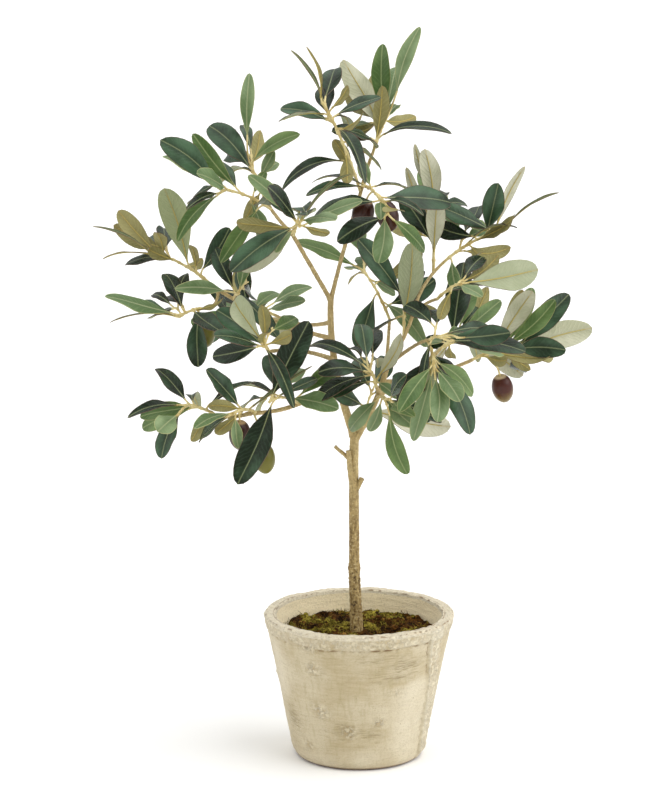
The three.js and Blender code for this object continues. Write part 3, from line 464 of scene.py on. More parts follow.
massPlan = [  # name, limb, fraction of its length, tip of the stem, seed, odd leaves that fill it,
    # the kind and way of each leaf, and the kind, way and place along the stem of each finer leaf
    ("crown_tip", "leader_right", 0.93, (-31, -22, 561), 11, 2,
     "curled 117, arched 172, curled 272, slim 340, curled 20, dark 158, slim 168, young 113, young 95",
     "young 104 1, dark 25 0.7, slim 178 0.95, curled 40 0.8, dark 345 0.55"),
    ("crown_top", "bough_crown", 1, (22, 30, 541), 12, 1,
     "ochre 84, arched 34, green 144, turned 117, green 104, light 88, wand 78",
     "dark 150 0.1, green 138 0.35, bud 60 0.9"),
    ("crown_front", "leader_right", 0.985, (22, -62, 476), 13, 1,
     "slim 172, slim 15, bud 105, olive 215, olive 340, broad 355, broad 193, olive 300, oval 258, green 319",
     "dark 20 0.3, slim 150 0.1, dark 196 1"),
    ("left_knot", "leader_left", 0.96, (-49, -72, 467), 14, 1,
     "silver 225, ochre 184, slim 205, broad 214, dark 128, curled 340, light 135, light 26",
     "slim 232 0.2, dark 100 0.8, young 60 0.9"),
    ("left_crest", "bough_left_high", 0.72, (-115, 16, 484), 15, 1,
     "green 235, bud 65, green 125, light 148, broad 122",
     "dark 134 0.5, green 285 0.3"),
    ("left_high", "bough_left_high", 1, (-93, 66, 499), 16, 2,
     "curled 250, bud 62, broad 140, green 137, wand 87",
     "bud 30 0.4"),
    ("far_left", "bough_far_left", 1, (-173, 44, 425), 17, 1,
     "dark 310, curled 85, turned 108, dark 40, curled 150, dark 176, curled 96, ochre 135, young 142",
     "dark 60 0.05, ochre 120 0.8, young 175 1"),
    ("left_bough", "bough_far_left", 0.82, (-101, 8, 398), 35, 1,
     "dark 328, dark 318, bud 80",
     "dark 120 0.3, dark 300 0"),
    ("hanging", "bough_hanging", 1, (-150, -14, 382), 18, 1,
     "dark 285, olive 300, curled 10, olive 250, dark 110, light 148, slim 150",
     "olive 250 0.55, young 172 0.9"),
    ("left_centre", "bough_left_centre", 1, (-78, -96, 373), 19, 2,
     "dark 142, turned 131, curled 90, dark 150",
     "dark 195 0.8, curled 20 0.6"),
    ("low_left_inner", "bough_low_left", 0.46, (-74, -72, 322), 20, 0,
     "green 24, oval 357, slim 160, broad 243, broad 67",
     "slim 60 0.8"),
    ("low_left", "bough_low_left", 0.94, (-104, -76, 313), 21, 1,
     "hanging_olive 300, young 40, curled 178, dark 122, olive 275, bud 275, dark 215",
     "curled 230 0.4"),
    ("low_left_tip", "bough_low_left_tip", 1, (-146, -60, 317), 22, 1,
     "curled 250, slim 15, oval 176, broad 183, dark 130, slim 178, light 168",
     "light 172 0.9, arched 140 0.7, young 186 0.95, broad 196 0.5, green 190 0.4"),
    ("far_right", "bough_far_right", 1, (134, 26, 346), 27, 2,
     "curled 355, hanging_olive 320, ochre 350, bud 296, green 68, dark 10, broad 46, turned 17",
     "green 45 0.5, curled 310 0.6, silver 30 0.3"),
    ("inner_right", "bough_right_high", 0.5, (38, 24, 388), 31, 1,
     "silver 92, turned 42, slim 205, curled 350, slim 62, broad 112",
     "dark 62 0.9"),
    ("inner_back", "bough_inner_back", 1, (3, 76, 406), 32, 2,
     "dark 30, dark 246, bud 330, green 153",
     "ochre 20 0.5"),
    ("centre_left", "bough_centre", 1, (8, -56, 345), 23, 1,
     "dark 184, slim 160, dark 172, arched 152",
     "silver 52 0, dark 200 0.4"),
    ("fork", "right_stem", 0.3, (6, 22, 296), 36, 1,
     "curled 20, turned 341",
     "curled 200 0.2"),
    ("low_front", "right_stem", 0.56, (22, -58, 317), 24, 0,
     "dark 340, oval 221, slim 350, green 289",
     "bud 250 0.5"),
    ("right_front", "bough_right_front", 1, (68, -92, 378), 25, 1,
     "slim 250, arched 22, broad 357",
     "dark 40 0.7"),
    ("low_right", "bough_right_front", 0.9, (60, -78, 358), 26, 1,
     "slim 170, broad 71, bud 92, dark 304, dark 240, green 313, light 254",
     "dark 200 0.8, broad 300 0.9"),
    ("right_mid", "bough_right_mid", 1, (83, -48, 416), 28, 1,
     "slim 22, curled 250, turned 0",
     "dark 195 0.9, slim 345 0.2"),
    ("right_tip", "bough_right_top", 1, (117, 48, 443), 29, 2,
     "bud 280, ochre 350, slim 48, ochre 24, dark 168, dark 80, sliver 68, young 45",
     "green 215 0.6, dark 160 0.9, silver 20 0.1"),
    ("right_crest", "bough_right_top", 0.8, (64, 62, 462), 30, 2,
     "silver 96, sliver 112, silver 101, sliver 108",
     "dark 115 0.2"),
    ("back_left", "bough_back_left", 1, (-104, 110, 360), 33, 4,
     "dark 155, green 195, silver 335, dark 215",
     "dark 100 0.6, dark 180 0.9"),
    ("back_right", "bough_back_right", 1, (98, 108, 342), 34, 4,
     "dark 10, green 50, silver 330, dark 190",
     "broad 78 0.2, dark 350 0.8"),
]
rule = {
    "stemRadii": (1.3, 0.9), "stalkRadii": (0.9, 0.75), "firstNode": 0.15, "stemBow": 0.08,
    "aimSpread": 5, "aimWiden": 0.5, "depthTilt": (5, 40), "fillTilt": (42, 78), "tries": 16,
    "sizeSpread": 0.1, "rollShare": (0.3, 1), "stalkWays": (0.3, 0.8), "spaceOverlap": 40, "leafGap": 1.6,
    "twigGap": 1.2, "stalkGap": 3.6, "leafReach": 4, "rootZone": 9, "twigPitch": 4, "bladeSkew": 1.28,
    "bladeBlunt": 0.66, "checkSteps": 8, "nearShare": 0.8, "nearMore": 6, "finerSeed": 300,
    "frontward": np.array([0, -0.8, 0.6]), "skyward": np.array([0, -0.35, 0.94]),
}


class Draws:  # draws between 0 and 1 from a seed
    def __init__(self, seed):
        self.state = seed

    def take(self):
        self.state = (self.state * 1664525 + 1013904223) % 4294967296
        return self.state / 4294967296

    def between(self, low, high):
        return low + (high - low) * self.take()


def unit(vector):
    return vector / np.linalg.norm(vector)


def turnedAbout(vector, axis, angle):
    across, kept = np.cross(axis, vector), axis * (axis @ vector)
    return vector * math.cos(angle) + across * math.sin(angle) + kept * (1 - math.cos(angle))


def halfWidth(leaf, t):
    swell = np.maximum(0, np.sin(np.pi * t ** rule["bladeSkew"])) ** rule["bladeBlunt"]
    return np.maximum(leaf["width"] / 2 * swell, rule["stalkRadii"][1] * (1 - t))


def bladePoint(leaf, t, across):
    t, across = np.asarray(t, float), np.asarray(across, float)
    height = np.abs(across) * leaf["foldSlope"] - leaf["droop"] * leaf["length"] * t * t
    ways = ((leaf["length"] * t, "along"), (across, "side"), (height, "top"))
    return leaf["root"] + sum(np.asarray(share)[..., None] * leaf[way] for share, way in ways)


def bladePlace(leaf, points):
    offset = points - leaf["root"]
    t = offset @ leaf["along"] / leaf["length"]
    across = offset @ leaf["side"]
    surface = np.abs(across) * leaf["foldSlope"] - leaf["droop"] * leaf["length"] * t * np.abs(t)
    return t, across, offset @ leaf["top"] - surface


def overBlade(leaf, t, across, margin):
    ends = margin / leaf["length"]
    return (t >= -ends) & (t <= 1 + ends) & (np.abs(across) < halfWidth(leaf, np.clip(t, 0, 1)) + margin)


def bladesMeet(one, other):
    t, across, height = bladePlace(other, one["rails"])
    over = overBlade(other, t, across, rule["leafGap"])
    through = over[:, 1:] & over[:, :-1] & (height[:, 1:] * height[:, :-1] < 0)
    return bool((over & (np.abs(height) < rule["leafGap"])).any() or through.any())


def twigsMeetBlade(leaf, points, radii):
    reach = radii + rule["twigGap"]
    t, across, height = bladePlace(leaf, points)
    return overBlade(leaf, t, across, reach) & (np.abs(height) < reach)


def makeLeaf(kindName, node, stemWay, way, draws, scale=1):
    length, width, droop, fold, stalk, kindRoll, turn = leafKinds[kindName]
    size = scale * (1 + draws.between(-rule["sizeSpread"], rule["sizeSpread"]))
    rollSide = -1 if draws.take() < 0.5 else 1
    roll = rollSide * math.radians(kindRoll * draws.between(*rule["rollShare"]))
    alongStem, alongLeaf = rule["stalkWays"]
    stalk = stalk * scale
    root = node + alongStem * stalk * stemWay + alongLeaf * stalk * way
    side = unit(np.cross(rule["skyward"] if turn == "skyward" else rule["frontward"], way))
    side = turnedAbout(side, way, roll)
    if turn == "under":
        side = -side
    leaf = {
        "kind": kindName, "length": length * size, "width": width * size, "droop": droop, "root": root,
        "along": way, "foldSlope": math.tan(math.radians(fold)), "side": side, "top": np.cross(way, side),
        "stalk": np.array([node, (node + root) / 2, root]),
    }
    t = np.linspace(0, 1, rule["checkSteps"] + 1)
    leaf["middle"] = bladePoint(leaf, 0.5, 0)
    leaf["rails"] = np.array([bladePoint(leaf, t, rail * halfWidth(leaf, t)) for rail in (-1, 0, 1)])
    return leaf


def makeOlive(kindName, node, way, draws):
    s = oliveShape
    hang = unit(np.array([way[0] * s["lean"], way[1] * s["lean"], -1]))
    reach = oliveStalks[kindName] * draws.between(*s["stalkSpread"])
    end = node + s["out"] * reach * way + s["down"] * reach * hang
    turnOver = node + s["bend"] * reach * way
    return {
        "kind": kindName, "hang": hang, "centre": end + hang * s["length"] / 2,
        "stalk": np.array([node, turnOver, end + s["sunk"] * hang]),
    }


class Grown:  # what stands so far
    def __init__(self):
        self.leaves, self.olives = [], []
        self.twigPoints, self.twigRadii, self.twigOwners = np.zeros((0, 3)), np.zeros(0), np.zeros(0, int)

    def addTwig(self, points, radii, owner):
        self.twigPoints = np.concatenate([self.twigPoints, points])
        self.twigRadii = np.concatenate([self.twigRadii, radii])
        self.twigOwners = np.concatenate([self.twigOwners, np.full(len(points), owner)])


def pointsAlong(curve, radius):
    count = max(2, math.ceil(lengthOf(curve) / rule["twigPitch"]))
    t = np.linspace(0, 1, count + 1)
    return pointOn(curve, t), np.array([radius(share) for share in t])


def stemRadius(t):
    return rule["stemRadii"][0] + (rule["stemRadii"][1] - rule["stemRadii"][0]) * t


def stalkRadius(t):  # the same all along
    return rule["stalkRadii"][0]


def distancesToStems(points, starts, ends):
    axes = ends - starts
    offset = points[:, None] - starts
    t = np.clip((offset * axes).sum(2) / (axes * axes).sum(1), 0, 1)
    return np.linalg.norm(offset - t[..., None] * axes, axis=2)


def stalkFits(stalk, mass, grown):
    points, radii = pointsAlong(stalk, stalkRadius)
    points, radii = points[1:], radii[1:]
    for leaf in grown.leaves:
        reach = rule["nearShare"] * leaf["length"] + rule["nearMore"]
        far = np.linalg.norm(points - leaf["middle"], axis=1).min() > reach
        if not far and twigsMeetBlade(leaf, points, radii).any():
            return False
    others = grown.twigOwners != mass["index"]
    gaps = np.linalg.norm(grown.twigPoints[others][:, None] - points, axis=2)
    if (gaps <= grown.twigRadii[others][:, None] + radii + rule["stalkGap"]).any():
        return False
    reach = oliveShape["length"] / 2 + rule["stalkRadii"][0]
    return all((np.linalg.norm(points - olive["centre"], axis=1) > reach).all() for olive in grown.olives)


def leafFits(leaf, mass, grown, space):
    near = distancesToStems(leaf["rails"][1], *space)
    own = near[:, mass["index"]] - rule["spaceOverlap"]
    near[:, mass["index"]] = np.inf
    if (own >= near.min(1)).any():
        return False
    for other in grown.leaves:
        apart = np.linalg.norm(leaf["middle"] - other["middle"])
        if apart > (leaf["length"] + other["length"]) / 2 + rule["leafReach"]:
            continue
        if bladesMeet(leaf, other) or bladesMeet(other, leaf):
            return False
    fromRoot = np.linalg.norm(grown.twigPoints - leaf["root"], axis=1)
    ownTwig = (grown.twigOwners == mass["index"]) & (fromRoot < rule["rootZone"])
    if (twigsMeetBlade(leaf, grown.twigPoints, grown.twigRadii) & ~ownTwig).any():
        return False
    for olive in grown.olives:
        if twigsMeetBlade(leaf, olive["centre"], oliveShape["radius"]):
            return False
    return stalkFits(leaf["stalk"], mass, grown)


def oliveFits(olive, mass, grown):
    half = oliveShape["length"] / 2
    if any(twigsMeetBlade(leaf, olive["centre"], half) for leaf in grown.leaves):
        return False
    if (np.linalg.norm(grown.twigPoints - olive["centre"], axis=1) <= grown.twigRadii + half).any():
        return False
    for other in grown.olives:
        if np.linalg.norm(other["centre"] - olive["centre"]) <= oliveShape["length"] + rule["twigGap"]:
            return False
    return stalkFits(olive["stalk"], mass, grown)


def aimed(way, depth):
    return np.array([math.cos(way) * math.cos(depth), math.sin(depth), math.sin(way) * math.cos(depth)])


def growPart(mass, kind, aim, tilt, turn, grown, space):
    draws = mass["draws"]
    t = rule["firstNode"] + (1 - rule["firstNode"]) * turn
    node, stemWay = pointOn(mass["curve"], t), wayOf(mass["curve"], t)
    for k in range(rule["tries"]):
        spread = draws.between(-rule["aimSpread"], rule["aimSpread"]) * (1 + k * rule["aimWiden"])
        way = math.radians(aim + spread)
        mass["front"] = mass.get("side", -mass["front"])
        direction = aimed(way, mass["front"] * math.radians(draws.between(*tilt)))
        if kind in oliveStalks:
            part = makeOlive(kind, node, direction, draws)
            fits = oliveFits(part, mass, grown)
        else:
            part = makeLeaf(kind, node, stemWay, direction, draws, mass.get("size", 1))
            fits = leafFits(part, mass, grown, space)
        if fits and "radius" in mass and kind not in oliveStalks:  # finer growth minds the sky and the box
            rails = part["rails"].reshape(-1, 3)
            fits = insideCad(rails) and keepsSky(rails)
        if fits:
            part["turn"] = t
            mass["parts"].append(part)
            (grown.olives if kind in oliveStalks else grown.leaves).append(part)
            grown.addTwig(*pointsAlong(part["stalk"], stalkRadius), mass["index"])
            return


def growFoliage(limbs):
    masses = []
    for index, (name, limb, fraction, tip, seed, more, leaves, finer) in enumerate(massPlan):
        start, end = pointOn(limbs[limb]["curve"], fraction), np.array(tip, float)
        curve = bowed(start, end, (0, 0, rule["stemBow"] * np.linalg.norm(end - start)))
        masses.append({
            "name": "foliage_" + name, "index": index, "curve": curve, "start": start, "end": end,
            "draws": Draws(seed), "front": 1 if seed % 2 else -1, "parts": [], "more": more,
            "leaves": [row.split() for row in leaves.split(", ")],
            "finer": [row.split() for row in finer.split(", ")],
        })
    grown = Grown()
    for index, limb in enumerate(limbs.values()):
        grown.addTwig(*pointsAlong(limb["curve"], limb["radius"]), -1 - index)
    for mass in masses:
        grown.addTwig(*pointsAlong(mass["curve"], stemRadius), mass["index"])
    space = np.array([mass["start"] for mass in masses]), np.array([mass["end"] for mass in masses])
    for mass in masses:
        for index, (kind, aim) in enumerate(mass["leaves"]):
            turn = index / (len(mass["leaves"]) - 1)
            growPart(mass, kind, float(aim), rule["depthTilt"], turn, grown, space)
    kinds = list(leafKinds)
    for mass in masses:
        for _ in range(mass["more"]):
            kind = kinds[math.floor(mass["draws"].take() * len(kinds))]
            aim = mass["draws"].between(0, 360)
            growPart(mass, kind, aim, rule["fillTilt"], mass["draws"].take(), grown, space)
    return masses, grown, space


limbs = makeLimbs()
masses, grown, space = growFoliage(limbs)
print("foliage grown:", len(grown.leaves), "leaves,", len(grown.olives), "olives")

# Finer growth by the same rule: more leaves on each stem, then side sprigs towards the front and the back

openSky = [  # left, right, low and high of each place that stays open, seen from the front
    (-50, -14, 360, 444), (-91, -52, 394, 426), (59, 84, 394, 423), (-150, -98, 313, 352),
    (-82, -34, 505, 553), (-58, -38, 536, 594), (33, 66, 545, 594), (52, 95, 486, 594),
    (120, 167, 406, 478), (-195, -165, 444, 507), (-217, -178, 308, 352), (-30, -8, 239, 300),
    (93, 169, 248, 313), (-120, -94, 540, 594), (17, 34, 492, 522),
]
sprigRule = {
    "perMass": 2, "length": (14, 24), "tilt": (54, 80), "radii": (1.0, 0.75), "nodes": (1, 0.7, 0.4),
    "fan": (0, 45, -45), "kinds": ("dark", "slim", "oval", "dark", "green", "ochre"), "size": 0.95,
    "spread": 50, "seedShift": 900, "seedStep": 31, "backShare": 0.72, "place": (0.3, 0.95),
    "waySpread": 8, "leastTilt": 0.6, "moreTilt": 8,
}
cadLow, cadHigh = (np.array([float(v) for v in corner]) * 1000 for corner in cadBox)


def insideCad(points):
    return bool((points >= cadLow).all() and (points <= cadHigh).all())


def keepsSky(points):
    x, z = points[:, 0], points[:, 2]
    for left, right, low, high in openSky:
        if ((x > left) & (x < right) & (z > low) & (z < high)).any():
            return False
    return True


def sprigRadius(t):
    return sprigRule["radii"][0] + (sprigRule["radii"][1] - sprigRule["radii"][0]) * t


def growSprig(mass, draws, grown, space):
    node = pointOn(mass["curve"], draws.between(*sprigRule["place"]))
    flat = mass["end"] - mass["start"]
    spread = draws.between(-sprigRule["spread"], sprigRule["spread"])
    aim = math.degrees(math.atan2(flat[2], flat[0])) + spread
    for k in range(rule["tries"]):
        side = 1 if draws.take() < sprigRule["backShare"] else -1
        way = math.radians(aim + draws.between(-sprigRule["waySpread"], sprigRule["waySpread"]) * (1 + k))
        depth = side * math.radians(draws.between(*sprigRule["tilt"]))
        length = draws.between(*sprigRule["length"])
        end = node + length * aimed(way, depth)
        curve = bowed(node, end, (0, 0, rule["stemBow"] * length))
        if not insideCad(end) or not stalkFits(curve, mass, grown):
            continue
        sprig = {**mass, "curve": curve, "parts": [], "draws": draws, "radius": sprigRadius,
                 "size": sprigRule["size"], "side": side}
        grown.addTwig(*pointsAlong(curve, sprigRadius), mass["index"])
        tilt = math.degrees(abs(depth))
        tilts = (tilt * sprigRule["leastTilt"], tilt + sprigRule["moreTilt"])
        for turn, fan in zip(sprigRule["nodes"], sprigRule["fan"]):
            kind = sprigRule["kinds"][math.floor(draws.take() * len(sprigRule["kinds"]))]
            growPart(sprig, kind, math.degrees(way) + fan, tilts, turn, grown, space)
        return sprig


def growFiner(masses, grown, space):
    sprigs = []
    for mass in masses:
        mass["draws"], mass["radius"] = Draws(mass["index"] + rule["finerSeed"]), stemRadius
        for kind, aim, turn in mass["finer"]:
            growPart(mass, kind, float(aim), rule["depthTilt"], float(turn), grown, space)
    for _ in range(sprigRule["perMass"]):
        for mass in masses:
            seed = sprigRule["seedShift"] + len(sprigs) * sprigRule["seedStep"] + mass["index"]
            sprig = growSprig(mass, Draws(seed), grown, space)
            if sprig and sprig["parts"]:
                sprigs.append(sprig)
    return sprigs


sprigs = growFiner(masses, grown, space)
print("finer growth:", len(grown.leaves), "leaves,", len(grown.olives), "olives,", len(sprigs), "sprigs")

# Tubes: each path is its points in mm and its radius at each


def tubeMesh(name, paths, roundness):
    curve = bpy.data.curves.new(name, "CURVE")
    curve.dimensions = "3D"
    curve.bevel_depth = millimetre
    curve.bevel_resolution = roundness
    curve.use_fill_caps = True
    for points, radii in paths:
        spline = curve.splines.new("POLY")
        spline.points.add(len(points) - 1)
        spline.points.foreach_set("co", np.hstack([points * millimetre, np.ones((len(points), 1))]).ravel())
        spline.points.foreach_set("radius", np.asarray(radii, float))
    holder = newObject(name, curve)
    shown = holder.evaluated_get(bpy.context.evaluated_depsgraph_get())
    mesh = bpy.data.meshes.new_from_object(shown)
    bpy.data.objects.remove(holder)
    bpy.data.curves.remove(curve)
    mesh.name = name
    mesh.shade_smooth()
    return mesh


def relieve(mesh, heightAt):  # moves each point along its normal by heightAt(point in mm), in mm
    shaped = bmesh.new()
    shaped.from_mesh(mesh)
    bmesh.ops.recalc_face_normals(shaped, faces=shaped.faces)
    shaped.normal_update()
    for vert, normal in [(vert, vert.normal.copy()) for vert in shaped.verts]:
        vert.co += normal * heightAt(vert.co * 1000) * millimetre
    shaped.to_mesh(mesh)
    shaped.free()


# Bark

barkLook = {
    "pitch": 1.1, "trunkPitch": 0.75, "trunkRoundness": 12, "roundness": 3, "ridge": 0.34,
    "ridgeWidth": 2.0, "ridgeLength": 11, "lump": 0.32, "lumpSize": 1.7, "lowLump": 0.7, "collarTop": 166,
    "footFlare": 0.45, "flareReach": 4, "stubPitch": 1.5, "stubFoot": 0.3, "strandSteps": 40,
    "footDepth": 5, "cutHeight": 275, "forkTop": 270, "aboveFork": 0.6, "core": 4,
    "lean": ((0, 0.3, 0.85, 1), (0.7, -1.4, -1.2, 0)),
}
fusedStrand = [  # x, y, z and radius: a second stem let into the left of the trunk, cut off under the fork
    (-4.5, -1.9, 222, 2.0), (-6.3, -3.8, 238, 2.3), (-8.2, -5.0, 253, 2.25), (-9.0, -5.0, 266, 2.2),
]


def limbPath(limb, pitch, flare):
    length = lengthOf(limb["curve"])
    t = np.linspace(0, 1, max(3, math.ceil(length / pitch)) + 1)
    radii = np.array([limb["radius"](share) for share in t])
    return pointOn(limb["curve"], t), radii * (1 + flare * np.exp(-t * length / barkLook["flareReach"]))


def barkHeight(at):
    look = barkLook
    drawn = Vector((at.x / look["ridgeWidth"], at.y / look["ridgeWidth"], at.z / look["ridgeLength"]))
    lump = look["lowLump"] if at.z < look["collarTop"] else look["lump"]
    share = min(1, math.hypot(at.x - trunkShape["foot"][0], at.y) / look["core"])  # none in the stem's core
    share = share if at.z < look["forkTop"] else look["aboveFork"]
    return share * (look["ridge"] * noise.noise(drawn) + lump * noise.noise(at / look["lumpSize"]))


def makeBark():
    points, radii = limbPath(limbs["trunk"], barkLook["trunkPitch"], 0)
    points[:, 0] += np.interp(np.linspace(0, 1, len(points)), *barkLook["lean"])
    foot = points[0] - (0, 0, barkLook["footDepth"])
    path = np.vstack([foot, points]), np.append(radii[0], radii)
    mesh = tubeMesh("trunk", [path], barkLook["trunkRoundness"])
    relieve(mesh, barkHeight)
    trunk = newObject("trunk_bark", mesh)
    thinner = [name for name in limbs if name != "trunk"]
    paths = [limbPath(limbs[name], barkLook["pitch"], barkLook["footFlare"]) for name in thinner]
    trunkHeight = trunkShape["fork"][2] - soilHeight
    for height, bearing, rise, length, radius in trunkStubs:
        foot = pointOn(limbs["trunk"]["curve"], height / trunkHeight)
        reach = trunkShape["forkRadius"] + length
        t = np.linspace(0, 1, math.ceil(reach / barkLook["stubPitch"]) + 1)
        points = foot + np.array(towards(bearing, rise)) * reach * t[:, None]
        paths.append((points, radius * (1 + barkLook["stubFoot"] * (1 - t) ** 2)))
    strand = np.array(fusedStrand)
    steps = np.linspace(0, len(strand) - 1, barkLook["strandSteps"])
    strand = np.array([np.interp(steps, range(len(strand)), values) for values in strand.T]).T
    paths.append((strand[:, :3], strand[:, 3]))
    mesh = tubeMesh("boughs", paths, barkLook["roundness"])
    relieve(mesh, barkHeight)
    boughs = newObject("bough_bark", mesh)
    bark = mouldedBark()
    for piece in (trunk, boughs):
        piece.data.materials.append(bark)
    mesh.materials.append(pressedPlastic("polyethylene bark, cut end", "#8a5a30", 0.7))
    for face in mesh.polygons:
        if len(face.vertices) > 4 and face.center.z < barkLook["cutHeight"] * millimetre:
            face.material_index = 1
    placePiece(trunk, "limb", "trunk")
    placePiece(boughs, "limb", *thinner)


makeBark()
print("bark made")

# Twigs: the stems with a knob at each node, the leaves' stalks and the olives' stalks

twigLook = {
    "pitch": 1.0, "knob": 0.5, "knobLength": 1.3, "stalkSteps": 9, "stalkFoot": 1.35, "stalkTurn": 0.55,
    "stalkIn": 1.5, "oliveStalk": 0.7, "oliveStalkFoot": 0.35, "oliveStalkTip": 0.3, "waver": 0.5,
    "waverSize": 12, "seed": 6,
}


def wavered(points, seed):  # a soft unevenness that dies away at both ends
    shares = np.sin(np.linspace(0, np.pi, len(points)))[:, None]
    shift = Vector((seed, 0, 0))
    sway = [noise.noise_vector(Vector(point) / twigLook["waverSize"] + shift) for point in points]
    return points + twigLook["waver"] * shares * np.array(sway)


def makeTwigs():
    look, paths = twigLook, []
    noise.seed_set(look["seed"])  # noise_vector shifts its noise by draws from this
    for stem in masses + sprigs:
        length = lengthOf(stem["curve"])
        t = np.linspace(0, 1, math.ceil(length / look["pitch"]) + 1)
        radii = stem["radius"](t)
        for part in stem["parts"]:
            radii = radii + look["knob"] * bell((t - part["turn"]) * length, look["knobLength"])
        paths.append((wavered(pointOn(stem["curve"], t), stem["index"]), radii))
        t = np.linspace(0, 1, look["stalkSteps"])
        for part in stem["parts"]:
            curve = part["stalk"]
            if "hang" in part:
                swell = look["oliveStalkFoot"] * (1 - t) ** 3 + look["oliveStalkTip"] * t ** 3
                radii = look["oliveStalk"] + swell
            else:
                foot, end = curve[0], curve[2]
                turn = end - part["along"] * look["stalkTurn"] * np.linalg.norm(end - foot)
                curve = np.array([foot, turn, end + part["along"] * look["stalkIn"]])
                radii = rule["stalkRadii"][1] * (1 + (look["stalkFoot"] - 1) * (1 - t) ** 2)
            paths.append((pointOn(curve, t), radii))
    twigs = newObject("twigs", tubeMesh("twigs", paths, 1))
    twigs.data.materials.append(twigPlastic())
    placePiece(twigs, "foliage")


makeTwigs()
print("twigs made")

# Leaves: one bent grid for each, with its midrib and margin as strips of their own, then a thickness

leafLook = {
    "rows": 14, "columns": 7, "spacing": (0.2, 0.8), "thickness": 0.4, "crease": 1.0, "fold": 1.5,
    "curl": 0.16, "curlShare": (0.2, 1.3), "wave": 0.85, "waves": (1.2, 2.4), "waveWidth": 14,
    "waveLag": 1.1, "twist": 44, "twistFrom": 0.35, "sweep": 0.055, "bend": (-0.05, 0.13),
    "tipCurl": (-0.05, 0.12), "shorten": 0.6, "widen": 0.98, "leastHalf": 0.2, "widest": (0.52, 0.65),
    "rootTaper": 1.25, "roundTip": 2.2, "lanceTip": 1.85, "pointedTip": 1.5,
    "lance": ("green", "light", "wand"), "lanceEarlier": 0.05,
    "pointed": ("young", "slim", "arched", "sliver"), "rib": 0.24, "ribNarrows": 0.55, "margin": 0.42,
    "mostOfHalf": 0.3, "ribFoot": 0.8, "ribTip": 0.3, "ribEnd": 0.9, "ribSteps": 11, "ribTaper": 0.6,
    "ribProud": 0.25, "tones": (-0.5, 0.55), "merge": 0.02, "seed": 5000, "seedStep": 37, "widestSeed": 7,
    "sharpAngle": 50,
}
leafPrints = {  # top, underside and margin. Each side: dark, light, midrib, veins, share of the veins, roughness, coat, shine, share of the painted shade beside the midrib, share of the mottling and its painted sheen
    # roughness, coat, shine, share of the dark beside the midrib, share of the mottling
    "deep": (
        ("#0f1e08", "#476347", "#8a9468", "#5d7a62", 0.08, 0.26, 0.03, 0.3, 0.55, 0.8),
        ("#939b78", "#adb294", "#b3975a", "#b0af8f", 0.2, 0.62, 0.0, 0.3, 0.3, 0.6), "#54402b"),
    "grass": (
        ("#425d28", "#768e53", "#9aa66e", "#789355", 0.12, 0.4, 0.06, 0.3, 0.5, 0.7),
        ("#8a976d", "#a0a97d", "#a58a4c", "#a5a780", 0.2, 0.62, 0.0, 0.3, 0.3, 0.6), "#85874f"),
    "pale": (
        ("#597244", "#8c9f74", "#aeb487", "#93a276", 0.14, 0.42, 0.05, 0.3, 0.5, 0.7),
        ("#9ba47a", "#b1b88e", "#a98c4c", "#b0b08a", 0.2, 0.62, 0.0, 0.3, 0.3, 0.6), "#a7ab74"),
    "silver": (
        ("#15250d", "#506a4e", "#8c976b", "#647f68", 0.08, 0.26, 0.03, 0.3, 0.55, 0.8),
        ("#afb092", "#dddbc6", "#b3975a", "#c9c6a8", 0.22, 0.6, 0.0, 0.3, 0.3, 0.6), "#756040"),
    "olive": (
        ("#3f4f30", "#58673c", "#8a8d58", "#69784c", 0.1, 0.42, 0.05, 0.3, 0.5, 0.7),
        ("#87814f", "#a69f6b", "#a8843c", "#b0a976", 0.22, 0.6, 0.0, 0.3, 0.3, 0.6), "#7a6238"),
}
toneOfKind = {
    "broad": "deep", "dark": "deep", "arched": "deep", "slim": "deep", "green": "grass", "light": "pale",
    "wand": "pale", "oval": "pale", "bud": "pale", "young": "olive", "turned": "silver",
    "silver": "silver", "sliver": "silver", "ochre": "olive", "curled": "olive",
}
tonesOfMass = [  # mass, kind and its family there
    ("left_centre", "turned", "deep"), ("far_left", "turned", "pale"), ("right_mid", "turned", "deep"),
    ("low_left_tip", "oval", "grass"), ("left_crest", "bud", "grass"), ("inner_right", "turned", "deep"),
]


def gridTemplate(rows, columns):  # each point's share along and its column, and the faces with their columns
    grid = bmesh.new()
    bmesh.ops.create_grid(grid, x_segments=rows, y_segments=columns, size=0.5)
    shares = np.array([vert.co for vert in grid.verts])
    faces = np.array([[vert.index for vert in face.verts] for face in grid.faces])
    grid.free()
    along = shares[:, 0] + 0.5
    even, closer = leafLook["spacing"]
    along = even * along + closer * (0.5 - 0.5 * np.cos(np.pi * along))  # closer rows towards root and tip
    column = np.rint((shares[:, 1] + 0.5) * columns).astype(int)
    return along, column, faces, column[faces].min(1)


def outline(leaf, t):
    look, widest = leafLook, leaf["widest"]
    taper = np.sin(np.pi / 2 * np.clip(t / widest, 0, 1)) ** look["rootTaper"]
    tip = look["roundTip"]
    if leaf["kind"] in look["pointed"]:
        tip = look["pointedTip"]
    elif leaf["kind"] in look["lance"]:
        tip, widest = look["lanceTip"], widest - look["lanceEarlier"]
    swell = taper * np.sqrt(1 - np.clip((t - widest) / (1 - widest), 0, 1) ** tip)
    return np.maximum(look["widen"] * leaf["width"] / 2 * swell, rule["stalkRadii"][1] * (1 - t))


def columnsAcross(leaf, t, column):  # the midrib and the margin keep their widths in millimetres
    look, half = leafLook, outline(leaf, t)
    rib = np.minimum(look["rib"] * (1 - look["ribNarrows"] * t), look["mostOfHalf"] * half)
    inner = half - np.minimum(look["margin"], look["mostOfHalf"] * half)
    steps = np.array([half, inner, (inner + rib) / 2, rib])
    fromEdge = np.minimum(column, look["columns"] - column)
    side = np.where(column > look["columns"] / 2, 1, -1)
    return side * steps[fromEdge, np.arange(len(t))], half


